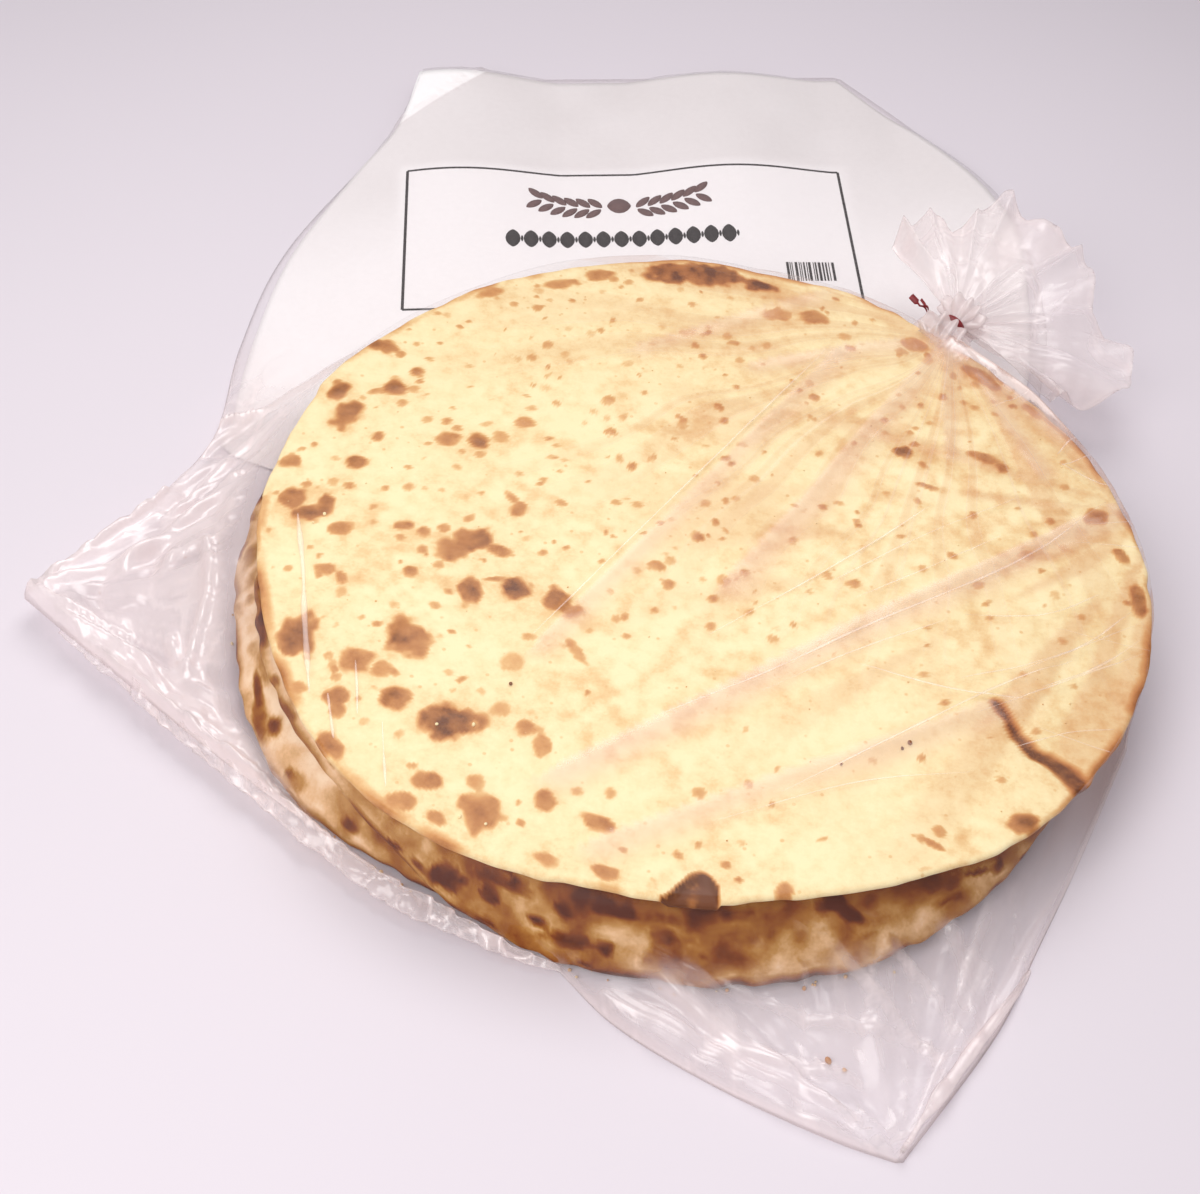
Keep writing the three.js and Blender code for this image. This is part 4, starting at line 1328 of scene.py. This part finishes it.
def label_paper():
    """Uncoated paper: matt white, faintly clouded; outside the frame, but for one bare corner, painted shade
    of the crumpled film over it makes it greyer.
    """
    material, tree, place = new_material("paper_uncoated_white")
    tint = add_node(tree, "ShaderNodeAttribute", {"attribute_name": "tint"}).outputs["Fac"]
    fibre = add_node(tree, "ShaderNodeTexNoise", None, {
        "Vector": place, "Scale": per_size(3), "Detail": 6, "Roughness": 0.7}).outputs["Fac"]
    start = corner_gap(0, 0)
    slope = (corner_gap(1, 0) - start, corner_gap(0, 1) - start, 0)
    towards = add_node(tree, "ShaderNodeVectorMath", {"operation": "DOT_PRODUCT"}, {0: place, 1: slope})
    covered = add_node(tree, "ShaderNodeMapRange", None, {
        "Value": towards.outputs["Value"], "From Min": (BARE_CORNER - start - 0.8) * MM,
        "From Max": (BARE_CORNER - start + 0.8) * MM, "To Min": 1.0, "To Max": 0.0})
    shade = add_node(tree, "ShaderNodeMath", {"operation": "MULTIPLY"}, {0: tint, 1: covered.outputs[0]})
    grey = add_node(tree, "ShaderNodeMath", {"operation": "MULTIPLY_ADD"}, {
        0: fibre, 1: 0.25, 2: shade.outputs[0]})
    colour = add_node(tree, "ShaderNodeValToRGB", None, {"Fac": grey.outputs[0]}, [
        (0, "#ffffff"), (1, "#d8d2d2"), (0.35, "#f1edee")])
    bump = add_node(tree, "ShaderNodeBump", None, {"Strength": 0.15, "Distance": 0.1 * MM, "Height": fibre})
    surface = add_node(tree, "ShaderNodeBsdfPrincipled", None, {
        "Base Color": colour.outputs["Color"], "Roughness": 0.8, "Normal": bump.outputs[0]})
    return surfaced(material, surface)


def clouded(name, grain_size, detail, harshness, stops, roughness):
    """A plain material whose colour varies with a noise of one grain size."""
    material, tree, place = new_material(name)
    cloud = add_node(tree, "ShaderNodeTexNoise", None, {
        "Vector": place, "Scale": per_size(grain_size), "Detail": detail,
        "Roughness": harshness}).outputs["Fac"]
    colour = add_node(tree, "ShaderNodeValToRGB", None, {"Fac": cloud}, stops)
    surface = add_node(tree, "ShaderNodeBsdfPrincipled", None, {
        "Base Color": colour.outputs["Color"], "Roughness": roughness})
    return surfaced(material, surface)


# Creases and crumbs


def built_by_nodes(piece, tree, values):
    """A piece rebuilt by a node tree with its named inputs set, as a plain mesh."""
    modifier = piece.modifiers.new("build", "NODES")
    modifier.node_group = tree
    for socket in tree.interface.items_tree:
        if socket.name in values:
            modifier[socket.identifier] = values[socket.name]
    graph = bpy.context.evaluated_depsgraph_get()
    built = bpy.data.meshes.new_from_object(piece.evaluated_get(graph))
    piece.modifiers.remove(modifier)
    piece.data = built
    return piece


def new_tree(name, inputs):
    """An empty geometry node tree with named inputs, and its input node."""
    tree = bpy.data.node_groups.new(name, "GeometryNodeTree")
    tree.interface.new_socket("Geometry", in_out="OUTPUT", socket_type="NodeSocketGeometry")
    for input_name, kind in {"Geometry": "NodeSocketGeometry", **inputs}.items():
        tree.interface.new_socket(input_name, in_out="INPUT", socket_type=kind)
    return tree, add_node(tree, "NodeGroupInput")


def closed_tree(tree, shape, material):
    """The tree ended in plain geometry of one material."""
    plain = add_node(tree, "GeometryNodeRealizeInstances", None, {"Geometry": shape.outputs[0]})
    dressed = add_node(tree, "GeometryNodeSetMaterial", None, {
        "Geometry": plain.outputs[0], "Material": material})
    add_node(tree, "NodeGroupOutput", None, {"Geometry": dressed.outputs[0]})
    return tree


def crease_strips(material):
    """Nodes that lay a flat pointed strip of film along each line."""
    inputs = {"Flatness": "NodeSocketVector", "Haze": "NodeSocketFloat"}
    tree, given = new_tree("film_crease_strips", inputs)
    curve = add_node(tree, "GeometryNodeMeshToCurve", None, {"Mesh": given.outputs["Geometry"]})
    level = add_node(tree, "GeometryNodeSetCurveNormal", {"mode": "Z_UP"}, {"Curve": curve.outputs[0]})
    ring = add_node(tree, "GeometryNodeCurvePrimitiveCircle", None, {"Resolution": 8, "Radius": 1.0})
    flat = add_node(tree, "GeometryNodeTransform", None, {
        "Geometry": ring.outputs[0], "Scale": given.outputs["Flatness"]})
    half = add_node(tree, "GeometryNodeInputNamedAttribute", {"data_type": "FLOAT"}, {"Name": "half_width"})
    strip = add_node(tree, "GeometryNodeCurveToMesh", None, {
        "Curve": level.outputs[0], "Profile Curve": flat.outputs[0],
        "Scale": half.outputs[0], "Fill Caps": True})
    milky = add_node(tree, "GeometryNodeStoreNamedAttribute", None, {
        "Geometry": strip.outputs[0], "Name": "haze", "Value": given.outputs["Haze"]})
    smooth = add_node(tree, "GeometryNodeSetShadeSmooth", None, {"Geometry": milky.outputs[0]})
    return closed_tree(tree, smooth, material)


def rim_creases():
    """Short creases where the film bends down over the right and back right of the rim."""
    dice = np.random.default_rng(29)
    lines = []
    for azimuth in np.radians([-30, -12, 6, 11, 17, 24, 28, 38]):
        slant = dice.uniform(-0.05, 0.12)
        reaches = (dice.uniform(150, 176), 184, BREAD_RADIUS + 3)
        turns = (azimuth + slant, azimuth + slant * 0.3, azimuth)
        half = dice.uniform(0.4, 0.8)
        lines.append((half, [(r * math.cos(a), r * math.sin(a)) for r, a in zip(reaches, turns)]))
    return lines


def film_strips(name, lines, flatness, haze, material):
    """Strips laid on the film along lines, each as wide as its line says and unevenly thinned."""
    points, halves, edges = [], [], []
    for half, line in lines:
        places = smooth_line(line, 24)
        share = np.linspace(0, 1, len(places))
        start = sum(map(len, points))
        height = film_top(places[:, 0], places[:, 1]) + 0.15
        points.append(np.column_stack([places, height]))
        uneven = 0.6 + 0.4 * drift(places[:, 0], places[:, 1], 13, 63)
        halves.append(np.maximum(0.08, half * uneven * np.sin(math.pi * share) ** 0.5))
        edges += [(start + step, start + step + 1) for step in range(len(places) - 1)]
    mesh = bpy.data.meshes.new(name)
    mesh.from_pydata((np.vstack(points) * MM).tolist(), edges, [])
    store_values(mesh, "half_width", np.concatenate(halves) * MM)
    values = {"Flatness": (1.0, flatness, 1.0), "Haze": haze}
    return built_by_nodes(in_scene(name, mesh), crease_strips(material), values)


CRUMB_SEED = 17
FOOT_CRUMBS = 36
TOP_CRUMBS = 60
# The crumbs that show singly: place, size and how brown, below zero where pale; the pale ones are specks that
# stand in for glints of film on dark blisters: painted highlights
PLACED_CRUMBS_AND_GLINTS = [
    (86, -101, 1.1, 0.95), (83, -104, 0.8, 0.95), (59, -115, 0.8, 0.9), (-72, -92, 0.9, 0.95),
    (60, -221, 1.7, 0.62), (66, -224, 1.0, 0.4), (-222, -9, 0.8, 0.9), (-252, -38, 0.7, 0.9),
    (-212, -70, 0.8, 0.8), (-160, -9, 1.0, -0.1), (-164, -14, 0.7, -0.1), (-98, -117, 0.8, -0.1),
    (-84, -115, 0.9, -0.1), (-84, -158, 0.9, -0.1), (-74, -160, 0.7, -0.1),
]


def crumb_scatter(material):
    """Nodes that set a small lump on each point, turned by chance."""
    tree, given = new_tree("crumb_scatter", {"Seed": "NodeSocketInt"})
    lump = add_node(tree, "GeometryNodeMeshIcoSphere", None, {"Radius": 1.0, "Subdivisions": 2})
    turn = add_node(tree, "FunctionNodeRandomValue", {"data_type": "FLOAT_VECTOR"}, {
        "Max": (6.28, 6.28, 6.28), "Seed": given.outputs["Seed"]})
    size = add_node(tree, "GeometryNodeInputNamedAttribute", {"data_type": "FLOAT_VECTOR"}, {"Name": "size"})
    strewn = add_node(tree, "GeometryNodeInstanceOnPoints", None, {
        "Points": given.outputs["Geometry"], "Instance": lump.outputs[0], "Rotation": turn.outputs[0],
        "Scale": size.outputs[0]})
    return closed_tree(tree, strewn, material)


def make_crumbs(material):
    """Crumbs inside the bag: some that show singly, among them pale specks that are painted highlights,
    others along the foot of the stack and over its top.
    """
    dice = np.random.default_rng(CRUMB_SEED)
    crumbs_and_glint_specks = list(PLACED_CRUMBS_AND_GLINTS)
    for _ in range(FOOT_CRUMBS):
        azimuth = math.radians(dice.uniform(-175, -55))
        past = dice.uniform(5, 10)
        reach = min(BREAD_RADIUS + past, bag_reach(azimuth) - 4)
        size, level = dice.uniform(0.4, 1.1), dice.uniform(0.1, 0.6)
        crumbs_and_glint_specks.append((reach * math.cos(azimuth), reach * math.sin(azimuth), size, level))
    for _ in range(TOP_CRUMBS):
        azimuth, reach = dice.uniform(-math.pi, math.pi), BREAD_RADIUS * math.sqrt(dice.uniform(0, 0.9))
        size, level = dice.uniform(0.25, 0.5), dice.uniform(0, 0.5)
        crumbs_and_glint_specks.append((reach * math.cos(azimuth), reach * math.sin(azimuth), size, level))
    x, y, size, level = np.array(crumbs_and_glint_specks).T
    on_bread = np.hypot(x, y) < BREAD_RADIUS - 4
    height = np.where(on_bread, bread_top_height(TOP_BREAD, x, y), film_under(x, y) + 0.2) + size * 0.5
    mesh = bpy.data.meshes.new("crumbs_and_glint_specks")
    mesh.from_pydata((np.column_stack([x, y, height]) * MM).tolist(), [], [])
    store_values(mesh, "toast", level)
    sizes = mesh.attributes.new("size", "FLOAT_VECTOR", "POINT")
    lumps = np.outer(size, [1, 1, 1]) * dice.uniform(0.55, 1, (len(size), 3)) * MM
    sizes.data.foreach_set("vector", lumps.astype(np.float32).ravel())
    return built_by_nodes(in_scene("crumbs_and_glint_specks", mesh), crumb_scatter(material), {"Seed": CRUMB_SEED})


# Camera, table and light


def set_camera():
    """The photograph's viewing angle: from in front, looking down, rolled a little."""
    back = np.array([0, -math.cos(CAMERA_DOWN), math.sin(CAMERA_DOWN)])
    level_right = np.array([1.0, 0, 0])
    level_up = np.cross(back, level_right)
    right = math.cos(CAMERA_ROLL) * level_right + math.sin(CAMERA_ROLL) * level_up
    up = math.cos(CAMERA_ROLL) * level_up - math.sin(CAMERA_ROLL) * level_right
    data = bpy.data.cameras.new("camera")
    data.sensor_fit = "HORIZONTAL"
    data.sensor_width = SENSOR_WIDTH
    data.lens = CAMERA_LENS
    camera = in_scene("camera", data)
    turn = Matrix([right, up, back]).transposed().to_4x4()
    camera.matrix_world = Matrix.Translation([part * MM for part in CAMERA_PLACE]) @ turn
    bpy.context.scene.camera = camera


def set_table():
    """A plain pale floor, wide enough to fill the view, in metres."""
    mesh = bpy.data.meshes.new("table")
    side = 4.0
    corners = [(-side, -side, 0), (side, -side, 0), (side, side, 0), (-side, side, 0)]
    mesh.from_pydata(corners, [], [(0, 1, 2, 3)])
    # Matt paint: pale, faintly lilac, very slightly cloudy
    paint = clouded("painted_board_matt", 400, 2, 0.5, [(0, "#d6cfd6"), (1, "#dbd4db")], 0.75)
    mesh.materials.append(paint)
    table = in_scene("table", mesh)


def add_lamp(name, place, aim, size, energy, spread):
    """A square soft light at a place, turned to an aim, in metres."""
    data = bpy.data.lights.new(name, "AREA")
    data.shape = "SQUARE"
    data.size = size
    data.energy = energy
    data.spread = math.radians(spread)
    data.color = (1.0, 0.985, 0.97)
    lamp = in_scene(name, data)
    lamp.location = place
    lamp.rotation_euler = (Vector(aim) - Vector(place)).to_track_quat("-Z", "Y").to_euler()


def set_light():
    """A soft light above the back, aimed at the front of the table, and another at the front left."""
    add_lamp("overhead", (-0.04, 0.5, 1.05), (-0.06, -0.3, 0), 0.8, 3.05, 110)
    add_lamp("front_left", (-0.65, -0.9, 1.0), (-0.1, -0.4, 0), 0.9, 7.9, 150)
    room = bpy.data.worlds.new("pale_room")
    room.use_nodes = True
    shell = room.node_tree.nodes["Background"]
    shell.inputs["Color"].default_value = linear("#f6f2f6")
    shell.inputs["Strength"].default_value = 0.56
    bpy.context.scene.world = room
    bpy.context.scene.view_settings.view_transform = "Standard"


# The whole

set_camera()
set_table()
set_light()

crust = baked_crust("wheat_crust_baked", PALE_CRUST)
brown_crust = baked_crust("wheat_crust_browned", BROWN_CRUST)
film = clear_film()
paper = label_paper()
# Offset ink on uncoated paper: matt, a little thin where the fibres break it
black_ink = clouded("offset_ink_black", 0.8, 3, 0.6, [(0, "#211a1c"), (1, "#0b0809")], 0.7)
brown_ink = clouded("offset_ink_brown", 0.8, 3, 0.6, [(0, "#7a5a58"), (1, "#4a2f30")], 0.7)

bag_pieces = [make_bread(TOP_BREAD, TOP_GRID, crust)]
for bread in BREADS[1:]:
    grid = HIDDEN_GRID if bread.hang is STAND_BACK else MARGIN_GRID
    bag_pieces.append(make_bread(bread, grid, brown_crust))
bag_pieces.append(make_film(film))
bag_pieces.append(make_ruffle(film))
bag_pieces.append(make_neck(film))
bag_pieces.append(make_seam(film))
bag_pieces.append(film_strips("film_glints", BRIGHT_CREASES, 0.1, 0.15, film))
bag_pieces.append(film_strips("film_creases", FAINT_CREASES + rim_creases(), 0.1, 0.12, film))
bag_pieces.append(film_strips("film_hem", [(4.2, FRONT_HEM)], 0.4, 0.4, film))
bag_pieces.append(make_crumbs(crust))
bag_pieces.append(make_sheet(paper))
bag_pieces.append(make_print("label_frame", frame_shapes(), black_ink))
bag_pieces.append(make_print("label_ornament", ornament_shapes(), brown_ink))
# Extruded soft PVC over a thin wire: satin red, lighter and darker in small random clouds
red_stops = [(0, "#5a0a10"), (1, "#a01f26"), (0.55, "#7d0f17")]
tie = make_tie(clouded("pvc_ribbon_extruded_red", 2.5, 4, 0.6, red_stops, 0.42))

for piece in bag_pieces:
    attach(piece, "root")
    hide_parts("bag")
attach(tie, "root")
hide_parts("twist_tie")
